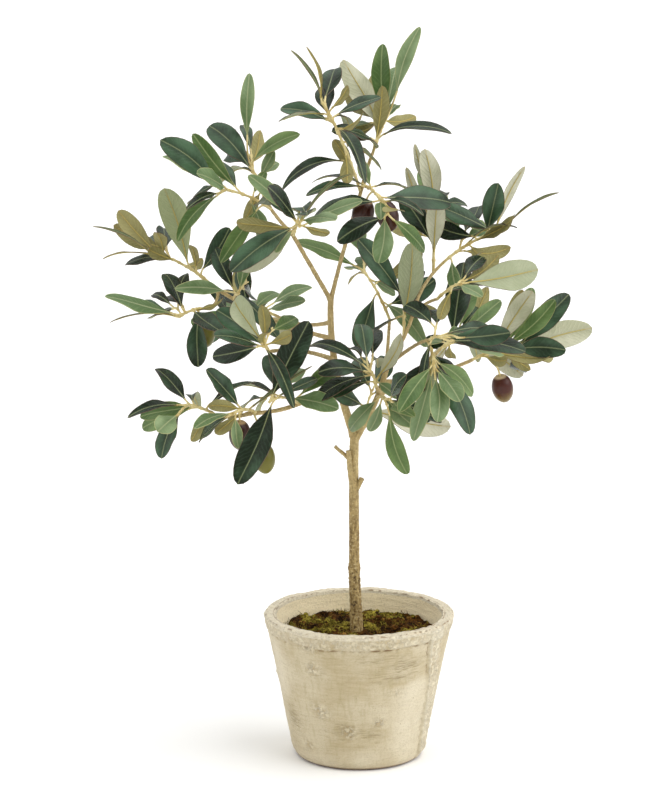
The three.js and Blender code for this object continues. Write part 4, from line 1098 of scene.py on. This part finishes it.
def shapedBlade(leaf, t, across, half, draws):
    look, rise = leafLook, np.sin(np.pi * t)
    share = across / np.maximum(half, look["leastHalf"])
    crease = look["crease"]
    height = look["fold"] * leaf["foldSlope"] * (np.sqrt(across ** 2 + crease ** 2) - crease)
    edge = draws.between(*look["curlShare"]) * leaf["width"] * np.abs(share) ** 3 * rise
    height = height - look["curl"] * edge
    waves, phase = draws.between(*look["waves"]), draws.between(0, 2 * np.pi)
    swing = look["wave"] * math.sqrt(leaf["width"] / look["waveWidth"]) * rise
    lag = (share > 0) * look["waveLag"]
    height = height + swing * np.sin(2 * np.pi * waves * t + phase + lag) * share * share
    twist = math.radians(draws.between(-look["twist"], look["twist"])) * (t - look["twistFrom"])
    sweep = draws.between(-look["sweep"], look["sweep"]) * leaf["length"] * rise
    sideways = across * np.cos(twist) - height * np.sin(twist) + sweep
    droop = leaf["droop"] + draws.between(*look["bend"])
    curl = draws.between(*look["tipCurl"])
    bent = leaf["length"] * (droop * t * t + curl * t ** 5)
    upward = across * np.sin(twist) + height * np.cos(twist) - bent
    shorten = 1 - look["shorten"] * (droop ** 2) * t * t  # a bent blade reaches less far
    ways = ((leaf["length"] * t * shorten, "along"), (sideways, "side"), (upward, "top"))
    return leaf["root"] + sum(share[:, None] * leaf[way] for share, way in ways)


def ribPath(leaf):  # along the underside, thinner towards the tip
    look = leafLook
    t = np.linspace(0, look["ribEnd"], look["ribSteps"])
    points = shapedBlade(leaf, t, 0 * t, outline(leaf, t), Draws(leaf["seed"]))
    radii = look["ribFoot"] + (look["ribTip"] - look["ribFoot"]) * (t / look["ribEnd"]) ** look["ribTaper"]
    sink = 0.5 * look["thickness"] + look["ribProud"] * radii
    return points - sink[:, None] * leaf["top"], radii


def thicken(leaves, toneCount):  # returns each face's slot: the two sides and the rim of a zone have one each
    solid = leaves.modifiers.new("thickness", "SOLIDIFY")
    solid.thickness = leafLook["thickness"] * millimetre
    solid.offset = 0
    solid.use_even_offset = True
    solid.material_offset = 1
    solid.material_offset_rim = 2
    for _ in range(9 * toneCount):
        leaves.data.materials.append(None)
    shown = leaves.evaluated_get(bpy.context.evaluated_depsgraph_get())
    thick = bpy.data.meshes.new_from_object(shown)
    leaves.modifiers.clear()
    leaves.data = thick
    slots = np.zeros(len(thick.polygons), int)
    thick.polygons.foreach_get("material_index", slots)
    thick.materials.clear()
    return slots


def makeLeaves(parts):
    look, toneNames = leafLook, list(leafPrints)
    t, column, faces, faceColumn = gridTemplate(look["rows"], look["columns"])
    last = look["columns"] - 1
    zones = np.where(faceColumn == last / 2, 1, np.where((faceColumn == 0) | (faceColumn == last), 2, 0))
    points, spans, tones, slots = [], [], [], []
    for leaf in parts:
        across, half = columnsAcross(leaf, t, column)
        draws = Draws(leaf["seed"])
        points.append(shapedBlade(leaf, t, across, half, draws))
        spans.append(np.stack([leaf["length"] * t, across], axis=1) / 10)
        tones.append(np.full(len(t), draws.between(*look["tones"])))
        slots.append(3 * (3 * toneNames.index(leaf["tone"]) + zones))  # a zone has two sides and a rim
    mesh = bpy.data.meshes.new("leaves")
    steps = (np.arange(len(parts)) * len(t))[:, None, None]
    mesh.from_pydata(np.concatenate(points) * millimetre, [], (faces + steps).reshape(-1, 4))
    mesh.shade_smooth()
    mesh.polygons.foreach_set("material_index", np.concatenate(slots))
    corners = np.zeros(len(mesh.loops), int)
    mesh.loops.foreach_get("vertex_index", corners)
    mesh.uv_layers.new(name="span").data.foreach_set("uv", np.concatenate(spans)[corners].ravel())
    keepValues(mesh, "tone", np.concatenate(tones))
    shaped = bmesh.new()
    shaped.from_mesh(mesh)
    bmesh.ops.remove_doubles(shaped, verts=shaped.verts, dist=look["merge"] * millimetre)
    shaped.to_mesh(mesh)
    shaped.free()
    leaves = newObject("leaves", mesh)
    slots = thicken(leaves, len(toneNames))
    for name in toneNames:
        topPrint, underPrint, marginColour = leafPrints[name]
        cloth, ribColour = f"polyester leaf, {name}, ", topPrint[2]
        leaves.data.materials.append(leafCloth(cloth + "printed top", topPrint))
        leaves.data.materials.append(leafCloth(cloth + "printed underside", underPrint))
        leaves.data.materials.append(pressedPlastic(cloth + "hot-cut margin", marginColour, 0.55))
        leaves.data.materials.append(pressedPlastic(cloth + "pressed midrib", ribColour, 0.45))
    table = np.array([[0, 1, 2], [3, 1, 2], [2, 1, 2]]).ravel()  # blade, midrib, margin: top, underside, rim
    leaves.data.polygons.foreach_set("material_index", 4 * (slots // 9) + table[slots % 9])
    leaves.data.set_sharp_from_angle(angle=math.radians(look["sharpAngle"]))
    placePiece(leaves, "foliage", *[mass["name"] for mass in masses])
    ribs = newObject("leaf_ribs", tubeMesh("leaf_ribs", [ribPath(leaf) for leaf in parts], 0))
    ribs.data.materials.append(pressedPlastic("polyethylene midribs, moulded in ochre", "#b9a858", 0.5))
    placePiece(ribs, "foliage")


for index, leaf in enumerate(grown.leaves):
    leaf["seed"] = leafLook["seed"] + leafLook["seedStep"] * index
    leaf["widest"] = Draws(leaf["seed"] + leafLook["widestSeed"]).between(*leafLook["widest"])
    leaf["tone"] = toneOfKind[leaf["kind"]]
for massName, kind, tone in tonesOfMass:
    for mass in masses:
        for part in mass["parts"]:
            if mass["name"] == "foliage_" + massName and part["kind"] == kind:
                part["tone"] = tone
makeLeaves(grown.leaves)
print("leaves made")

# Olives

oliveLook = {
    "segments": 24, "rings": 16, "shoulder": 0.12, "point": 0.1, "dimple": 0.1, "dimpleFrom": 0.93,
    "dimpleReach": 0.07, "tones": ("dark", "dark", "green", "green", "dark", "ripe"),
}
oliveTones = {
    "green olives": {"body": "#5d5a1e", "tip": "#726e2c", "cap": "#9b8148", "turn": (0.1, 0.9)},
    "ripe olives": {"body": "#482015", "tip": "#7b6630", "cap": "#c9b28f", "turn": (0.42, 0.78)},
    "dark olives": {"body": "#371a12", "tip": "#4f2d1c", "cap": "#a98d66", "turn": (0.2, 0.7)},
}


def makeOlives(olives):
    look, toneNames, along = oliveLook, list(oliveTones), []
    joined = bmesh.new()
    for olive, tone in zip(olives, look["tones"]):
        ball = bmesh.new()
        bmesh.ops.create_uvsphere(ball, u_segments=look["segments"], v_segments=look["rings"], radius=1)
        along += [vert.co.z / 2 + 0.5 for vert in ball.verts]
        turn = Vector(-olive["hang"]).to_track_quat("Z", "Y").to_matrix()
        for vert in ball.verts:
            x, y, z = vert.co
            slim = 1 - look["point"] * max(0, -z) ** 2 + look["shoulder"] * max(0, z) ** 3
            z = z - look["dimple"] * max(0, z - look["dimpleFrom"]) / look["dimpleReach"]  # round the stalk
            wide = slim * oliveShape["radius"]
            local = Vector((x * wide, y * wide, z * oliveShape["length"] / 2))
            vert.co = (turn @ local + Vector(olive["centre"])) * millimetre
        for face in ball.faces:
            face.material_index = toneNames.index(tone + " olives")
            face.smooth = True
        holder = meshFrom("olive", ball)
        joined.from_mesh(holder)
        bpy.data.meshes.remove(holder)
    piece = newObject("olives", meshFrom("olives", joined))
    keepValues(piece.data, "along", along)
    for name in toneNames:
        piece.data.materials.append(oliveSkin("polystyrene, airbrushed, " + name, oliveTones[name]))
    placePiece(piece, "foliage")


makeOlives(grown.olives)
print("olives made")

# Pot

potLook = {
    "steps": 450, "wallPitch": 0.95, "lipRound": 1.4, "lipSteps": 5, "lipPitch": 0.6, "footSteps": 7,
    "fineAbove": 88, "fineFade": 4, "footFade": (0.2, 3), "skin": 4, "wobble": 0.8, "wobbleSize": 42,
    "trowel": 0.24, "trowelSize": (17, 17, 4), "brush": 0.1, "brushSize": (7, 7, 1.1), "raggedSize": 5,
    "ledge": 0.9, "ledgeHeight": 112.5, "ledgeSoft": 0.6, "ledgeWander": 2,
    "ledgeWanderSize": (24, 24, 1000), "ledgeCoat": (6, 3), "ledgeCoatShare": 0.6, "ledgeGroove": 1.2,
    "ledgeGrooveBelow": 1.2, "groove": 0.6, "grooveWidth": 0.7, "grooveIn": 6.9, "grooveLeast": 0.8,
    "grooveSize": 9, "topFrom": 1.2, "topTo": 0.2, "rimWobble": 0.9, "rimWobbleSize": 17,
    "rimWobbleFrom": (108, 122), "rimLump": 0.45, "rimLumpSize": 3.4, "seamTop": -41.5, "seamBottom": -26,
    "seamBead": 2.0, "beadLeast": 0.7, "beadRagged": 0.9, "seamWidth": 1.2, "seamRagged": 1.3,
    "seamSoft": 0.7, "seamStep": 1.1, "seamReach": 18, "seamEnd": 1.2, "seamFade": 9, "seamGroove": 1.0,
    "seamGrooveOff": 2.2, "seamGrooveWidth": 0.8, "groovesLeast": 0.5, "bandCoatShare": 0.8,
    "plaster": 0.8, "plasterSize": 3.4, "crumb": 2.6, "crumbSize": 2.6, "crumbCoarse": 0.6,
    "crumbFrom": 0.05, "crumbPit": 0.15, "pitDepth": 0.5, "grain": 0.2, "grainSize": 2, "edgeWear": 1.15,
    "wearLeast": 0.45, "wearPatches": 2.2, "wearMost": 1.15, "wearSize": 4, "rimPlaster": 0.35,
    # the rim top gets a painted highlight, paler than the band below
    "rimPaintedHighlight": -0.62, "rimDepth": 2.2, "cutGrooveShade": 1.4,
}
plasterDaubs = [  # bearing, height, width, tallness and strength of each daub of crumbly plaster
    (-122, 92, 6, 6, 1.0), (-120, 53, 7, 6, 1.0), (-135, 19, 5, 5, 0.9), (-98, 36, 6, 7, 0.8),
    (-75, 45, 5, 4, 1.1), (-36, 118, 9, 6, 1.2), (-31, 96, 5, 6, 0.7), (-24, 30, 5, 8, 0.8),
    (-122, 113, 14, 5, 0.9), (-92, 116, 14, 4, 0.6), (-62, 72, 7, 4, 0.5), (40, 60, 8, 6, 1.0),
    (100, 84, 8, 6, 1.0), (150, 34, 8, 6, 1.0), (-178, 70, 8, 5, 0.9), (12, 104, 10, 6, 1.0),
    (70, 116, 14, 5, 0.9),
]
wornPatches = [  # the same of each place where the wash is thin
    (-151, 40, 13, 12, 0.9), (-100, 37, 15, 8, 0.7), (-80, 33, 12, 7, 0.7), (-58, 96, 20, 8, 1.0),
    (-62, 86, 24, 7, 0.9), (-70, 104, 22, 6, 0.6), (-123, 60, 10, 8, 0.2), (-118, 88, 9, 9, 0.35),
    (20, 60, 26, 14, 0.8), (75, 92, 22, 10, 0.8), (110, 36, 24, 12, 0.9), (170, 90, 22, 10, 0.7),
]
paleWashAndPaintedLightPatches = [  # the same of each place where the wash is thick and pale; the two tall ones, at the right front and the left edge, are painted light
    (-52, 62, 24, 70, 0.43), (-160, 80, 18, 50, 0.3), (-88, 12, 30, 8, 0.2), (-125, 8, 30, 9, 0.25),
    (60, 40, 40, 20, 0.3),
]


def arc(radius, height, roundness, fromDegrees, toDegrees, steps):
    angles = np.radians(np.linspace(fromDegrees, toDegrees, steps + 1))
    return [(radius + roundness * math.cos(a), height + roundness * math.sin(a)) for a in angles]


def outerRadius(z):
    return potShape["baseRadius"] + (potShape["rimRadius"] - potShape["baseRadius"]) * z / potShape["height"]


def spun(profile, steps):  # a closed body from a profile of (radius, height) in mm, from axis to axis
    body = bmesh.new()
    verts = [body.verts.new((radius * millimetre, 0, height * millimetre)) for radius, height in profile]
    edges = [body.edges.new(pair) for pair in zip(verts, verts[1:])]
    bmesh.ops.spin(body, geom=verts + edges, cent=(0, 0, 0), axis=(0, 0, 1), angle=2 * math.pi,
                   steps=steps, use_merge=True)
    bmesh.ops.remove_doubles(body, verts=body.verts, dist=1e-6)
    bmesh.ops.recalc_face_normals(body, faces=body.faces)
    return body


def noiseAt(points, size, shift=0):  # size is one number or one for each axis, in mm
    scaled = points / np.array(size) + shift
    return np.array([noise.noise(Vector(point)) for point in scaled])


def onPot(bearing, height):
    at = math.radians(bearing)
    return np.array([math.cos(at) * outerRadius(height), math.sin(at) * outerRadius(height), height])


def patchesOnPot(points, spots):  # 0 to 1, strongest in the middle of each spot
    share = np.zeros(len(points))
    for bearing, height, width, tall, strength in spots:
        apart = (points - onPot(bearing, height)) / (width, width, tall)
        share = np.maximum(share, strength * np.exp(-(apart * apart).sum(1)))
    return share


def potRelief(points):  # the whole relief, the fine part of it, and the share of thick plaster
    look = potLook
    radius, z = np.hypot(points[:, 0], points[:, 1]), points[:, 2]
    bearing = np.degrees(np.arctan2(points[:, 1], points[:, 0]))
    trowel, brush = noiseAt(points, look["trowelSize"]), noiseAt(points, look["brushSize"], 40)
    ragged = noiseAt(points, look["raggedSize"])
    onWall = radius > outerRadius(z) - potShape["wall"] / 2
    ledgeAt = look["ledgeHeight"] + look["ledgeWander"] * noiseAt(points, look["ledgeWanderSize"])
    ledge = look["ledge"] * smooth(z, ledgeAt - look["ledgeSoft"], ledgeAt + look["ledgeSoft"])
    below, above = look["ledgeCoat"]
    fromLedge = smooth(z, ledgeAt - below, ledgeAt + above)
    seam = look["seamBottom"] + (look["seamTop"] - look["seamBottom"]) * z / potShape["height"]
    fromSeam = np.radians(bearing - seam) * radius + look["seamRagged"] * ragged
    band = smooth(fromSeam, -look["seamSoft"], look["seamSoft"])
    band = band * (1 - smooth(fromSeam, look["seamReach"] - look["seamEnd"], look["seamReach"]))
    band = band * smooth(z, 0, look["seamFade"])
    bead = look["seamBead"] * bell(fromSeam, look["seamWidth"]) * smooth(z, 0, look["seamFade"])
    bead = bead * (look["beadLeast"] + look["beadRagged"] * ragged)
    crumb = look["crumbCoarse"] * noiseAt(points, look["plasterSize"], 11)
    crumb = crumb + noiseAt(points, look["crumbSize"])
    daubs = patchesOnPot(points, plasterDaubs)
    pits = look["crumbPit"] * smooth(-crumb, 0, look["pitDepth"])
    crumbs = look["crumb"] * np.maximum(crumb - look["crumbFrom"], 0) - pits
    coat = np.maximum(look["bandCoatShare"] * band, look["ledgeCoatShare"] * fromLedge)
    plaster = look["plaster"] * noiseAt(points, look["plasterSize"]) * coat + daubs * crumbs
    plaster = plaster + look["grain"] * noiseAt(points, look["grainSize"], 19)
    grooves = -look["ledgeGroove"] * bell(z - ledgeAt + look["ledgeGrooveBelow"], look["grooveWidth"])
    grooves = grooves - look["seamGroove"] * bell(fromSeam + look["seamGrooveOff"], look["seamGrooveWidth"])
    grooves = grooves * (look["groovesLeast"] + ragged)
    outside = onWall & (z < potShape["height"] - 1)
    detail = look["trowel"] * trowel + look["brush"] * brush
    detail = detail + outside * (ledge + grooves + bead + look["seamStep"] * band + plaster)
    thick = np.where(onWall, np.maximum(coat, daubs), 0)
    return look["wobble"] * noiseAt(points, look["wobbleSize"]) + detail, detail, np.clip(thick, 0, 1)


def potProfile():  # up the outside, over the lip and down the inside
    look, shape = potLook, potShape
    foot, wall, lip = shape["footRound"], shape["wall"], look["lipRound"]
    lean = math.degrees(math.atan2(shape["rimRadius"] - shape["baseRadius"], shape["height"]))
    rows = np.arange(foot, shape["height"] - lip, look["wallPitch"])
    outer = [(outerRadius(z), z) for z in rows[1:]]
    down = [z for z in rows[::-1] if z > look["fineAbove"]] + [70, 40, shape["floor"]]
    inner = [(outerRadius(z) - wall, z) for z in down]
    outerLip, innerLip = shape["rimRadius"] - lip, shape["rimRadius"] - wall + lip
    inwards = np.arange(outerLip - look["lipPitch"], innerLip, -look["lipPitch"])
    flat = [(radius, shape["height"]) for radius in inwards]
    return (
        [(0, 0), (20, 0), (40, 0)]
        + arc(shape["baseRadius"] - foot, foot, foot, -90, -lean, look["footSteps"])
        + outer + arc(outerLip, shape["height"] - lip, lip, 0, 90, look["lipSteps"])
        + flat + arc(innerLip, shape["height"] - lip, lip, 90, 180, look["lipSteps"])
        + inner + [(25, shape["floor"]), (0, shape["floor"])]
    )


def makePot():
    look, shape = potLook, potShape
    body = spun(potProfile(), look["steps"])
    body.normal_update()
    points = np.array([vert.co for vert in body.verts]) * 1000
    normals = np.array([vert.normal for vert in body.verts])
    height, detail, plaster = potRelief(points)
    radius, z = np.hypot(points[:, 0], points[:, 1]), points[:, 2]
    outside = radius > outerRadius(z) - look["skin"]
    keep = smooth(z, look["fineAbove"], look["fineAbove"] + look["fineFade"])
    keep = np.where(outside, smooth(z, *look["footFade"]), keep)
    top = smooth(z, shape["height"] - look["topFrom"], shape["height"] - look["topTo"])
    bite = bell(shape["rimRadius"] - radius - look["grooveIn"], look["grooveWidth"])
    cut = -top * look["groove"] * bite * (look["grooveLeast"] + noiseAt(points, look["grooveSize"], 7))
    lump = top * look["rimLump"] * noiseAt(points, look["rimLumpSize"], 3)
    wobble = look["rimWobble"] * noiseAt(points * (1, 1, 0), look["rimWobbleSize"])
    moved = points + normals * (height * keep)[:, None]
    moved[:, 2] += wobble * smooth(z, *look["rimWobbleFrom"]) + cut + lump
    for vert, at in zip(body.verts, moved):
        vert.co = Vector(at) * millimetre
    for face in body.faces:
        face.smooth = True
    mesh = meshFrom("pot", body)
    # painted highlight on the rim top, which also takes its share of plaster
    onRim = z > shape["height"] - look["rimDepth"]
    # painted light: the rim top, the inner wall and two tall side patches are lightened, along with the
    # places where the wash is thick and pale
    washAndPaintedLight = patchesOnPot(points, wornPatches) - patchesOnPot(points, paleWashAndPaintedLightPatches)
    toneShift = np.where(onRim, look["rimPaintedHighlight"], np.where(outside, washAndPaintedLight, -1))
    plaster = np.where(onRim, np.maximum(plaster, look["rimPlaster"]), plaster)
    edges = (shape["rimRadius"], shape["rimRadius"] - shape["wall"])
    wearAndGrooveShade = sum(bell(np.hypot(radius - edge, z - shape["height"]), look["edgeWear"]) for edge in edges)
    wearAndGrooveShade = wearAndGrooveShade * np.clip(
        look["wearLeast"] + look["wearPatches"] * noiseAt(points, look["wearSize"], 23), 0, look["wearMost"])
    # the relief goes low in the grooves and on the rubbed edges; the clay browns both, wear on the edges and
    # painted shade in the grooves
    keepValues(mesh, "relief", detail + look["cutGrooveShade"] * cut - wearAndGrooveShade)
    keepValues(mesh, "toneShift", toneShift)
    keepValues(mesh, "plaster", plaster)
    mesh.materials.append(limewashedClay())
    placePiece(newObject("clay_pot", mesh), "pot", "pot")


makePot()
print("pot made")

# Moss: a crumbly bed with tufts and ragged strands on it

mossLook = {
    "steps": 220, "pitch": 1.0, "height": 106, "clearance": 0.3, "lump": 6.0, "lumpSize": 15, "tuft": 3.4,
    "tuftSize": 6, "crumb": 1.6, "crumbSize": 2.4, "clods": 150, "clodRadius": (1.3, 3.0), "clodEdge": 4,
    "crumple": 0.6, "crumpleSize": 1.7, "flatter": 0.7, "tufts": 400, "strands": (9, 15),
    "strandSteps": 4, "strandLength": (2.6, 6.5), "strandRadius": (0.26, 0.5), "strandTaper": 0.7,
    "strandFoot": 0.8, "spread": 2.8, "trunkGap": 10, "rimGap": 7, "sink": 0.4, "hug": 2.4,
    "hugReach": 10, "patchSize": 17, "patchPlace": 216.05, "seed": 404, "lessAtRim": 0.4,
    "leastAtTrunk": 0.25, "moreAway": 0.75, "trunkFade": (4, 6), "toneSpread": 0.3, "greenAbove": 0.08,
    "rustAbove": -0.2, "bedGreenAbove": 0.16, "bedGrain": 0.2, "bedGrainSize": 3, "clodRise": 0.1,
    "tuftEdge": 2, "strandRise": (-0.1, 0.8), "strandBend": (-0.7, 0.5), "bend": 0.5, "wallGap": 0.5,
}
mossTones = {
    "dark": {"clump": 9, "turn": (0.4, 0.62), "colours": ("#2c1a09", "#5e3c16", "#150c04")},
    "rust": {"clump": 7, "turn": (0.38, 0.6), "colours": ("#66411a", "#9f7a38", "#2f1c09")},
    "green": {"clump": 7, "turn": (0.36, 0.6), "colours": ("#64591c", "#aa9b40", "#2c230b")},
}
mossEdge = outerRadius(mossLook["height"]) - potShape["wall"] - mossLook["clearance"]


def mossTop(x, y):
    look, at = mossLook, Vector((x, y, 0))
    rim = 1 - look["lessAtRim"] * float(smooth(math.hypot(x, y), mossEdge - look["rimGap"], mossEdge))
    fromTrunk = math.hypot(x - trunkShape["foot"][0], y - trunkShape["foot"][1])
    before, after = look["trunkFade"]
    away = float(smooth(fromTrunk, look["trunkGap"] - before, look["trunkGap"] + after))
    rim *= look["leastAtTrunk"] + look["moreAway"] * away
    lumps = sum(look[kind] * noise.noise(at / look[kind + "Size"]) for kind in ("lump", "tuft", "crumb"))
    hug = look["hug"] * float(bell(fromTrunk, look["hugReach"]))
    return look["height"] + look["sink"] + rim * lumps + hug


def mossPatch(x, y):
    return noise.noise(Vector((x / mossLook["patchSize"], y / mossLook["patchSize"], mossLook["patchPlace"])))


def mossTone(x, y, draws):  # green in patches, rust and dark between
    look = mossLook
    patch = mossPatch(x, y) + draws.between(-look["toneSpread"], look["toneSpread"])
    return "green" if patch > look["greenAbove"] else "rust" if patch > look["rustAbove"] else "dark"


def mossPlace(draws, gap):
    reach, bearing = (mossEdge - gap) * math.sqrt(draws.take()), draws.between(0, 2 * math.pi)
    return reach * math.cos(bearing), reach * math.sin(bearing)


def mossBed(draws, toneNames):
    look, low = mossLook, potShape["floor"] + mossLook["clearance"]
    lowRadius = outerRadius(low) - potShape["wall"] - look["clearance"]
    rows = [mossEdge, *np.arange(mossEdge - 0.5, 1, -look["pitch"]), 0]
    profile = [(0, low), (20, low), (lowRadius, low)] + [(row, look["height"]) for row in rows]
    bed = spun(profile, look["steps"])
    for vert in bed.verts:
        if vert.co.z > (look["height"] - 0.1) * millimetre:
            vert.co.z = mossTop(vert.co.x * 1000, vert.co.y * 1000) * millimetre
    for face in bed.faces:
        middle = face.calc_center_median() * 1000
        patch = mossPatch(middle.x, middle.y) + look["bedGrain"] * noise.noise(middle / look["bedGrainSize"])
        face.material_index = toneNames.index("green" if patch > look["bedGreenAbove"] else "dark")
    for _ in range(look["clods"]):
        x, y = mossPlace(draws, look["clodEdge"])
        size = draws.between(*look["clodRadius"])
        made = bmesh.ops.create_icosphere(bed, subdivisions=2, radius=size * millimetre)["verts"]
        centre = Vector((x, y, mossTop(x, y) + look["clodRise"] * size)) * millimetre
        tone = toneNames.index(mossTone(x, y, draws))
        for vert in made:
            crumple = 1 + look["crumple"] * noise.noise((vert.co + centre) * 1000 / look["crumpleSize"])
            vert.co = Vector((vert.co.x, vert.co.y, vert.co.z * look["flatter"])) * crumple + centre
        for face in {face for vert in made for face in vert.link_faces}:
            face.material_index = tone
    return meshFrom("moss", bed)


def mossStrand(draws, middle):
    look = mossLook
    x, y = [place + draws.between(-1, 1) * look["spread"] for place in middle]
    foot = np.array([x, y, mossTop(x, y) - look["strandFoot"]])
    way, bend = [
        np.array([draws.between(-1, 1), draws.between(-1, 1), draws.between(*look[rise])])
        for rise in ("strandRise", "strandBend")]
    length, radius = draws.between(*look["strandLength"]), draws.between(*look["strandRadius"])
    t = np.linspace(0, 1, look["strandSteps"] + 1)
    points = foot + length * (t[:, None] * unit(way) + look["bend"] * (t ** 2)[:, None] * bend)
    span = np.hypot(points[:, 0], points[:, 1])
    points[:, :2] *= np.minimum(1, (mossEdge - look["wallGap"]) / np.maximum(span, 1))[:, None]
    return points, radius * (1 - look["strandTaper"] * t)


def makeMoss():
    look, draws, toneNames = mossLook, Draws(mossLook["seed"]), list(mossTones)
    mesh = mossBed(draws, toneNames)
    mesh.shade_smooth()
    finishes = [mossFibre(f"moss and peat, dried and glued, {name}", mossTones[name]) for name in toneNames]
    for finish in finishes:
        mesh.materials.append(finish)
    placePiece(newObject("moss_bed", mesh), "filling", "filling")
    paths = {name: [] for name in toneNames}
    for _ in range(look["tufts"]):
        middle = mossPlace(draws, look["tuftEdge"])
        tone = mossTone(*middle, draws)
        for _ in range(math.floor(draws.between(*look["strands"]))):
            paths[tone].append(mossStrand(draws, middle))
    for name, finish in zip(toneNames, finishes):
        strands = newObject("moss_strands_" + name, tubeMesh("moss_strands", paths[name], 0))
        strands.data.materials.append(finish)
        placePiece(strands, "filling")


makeMoss()
print("moss made")
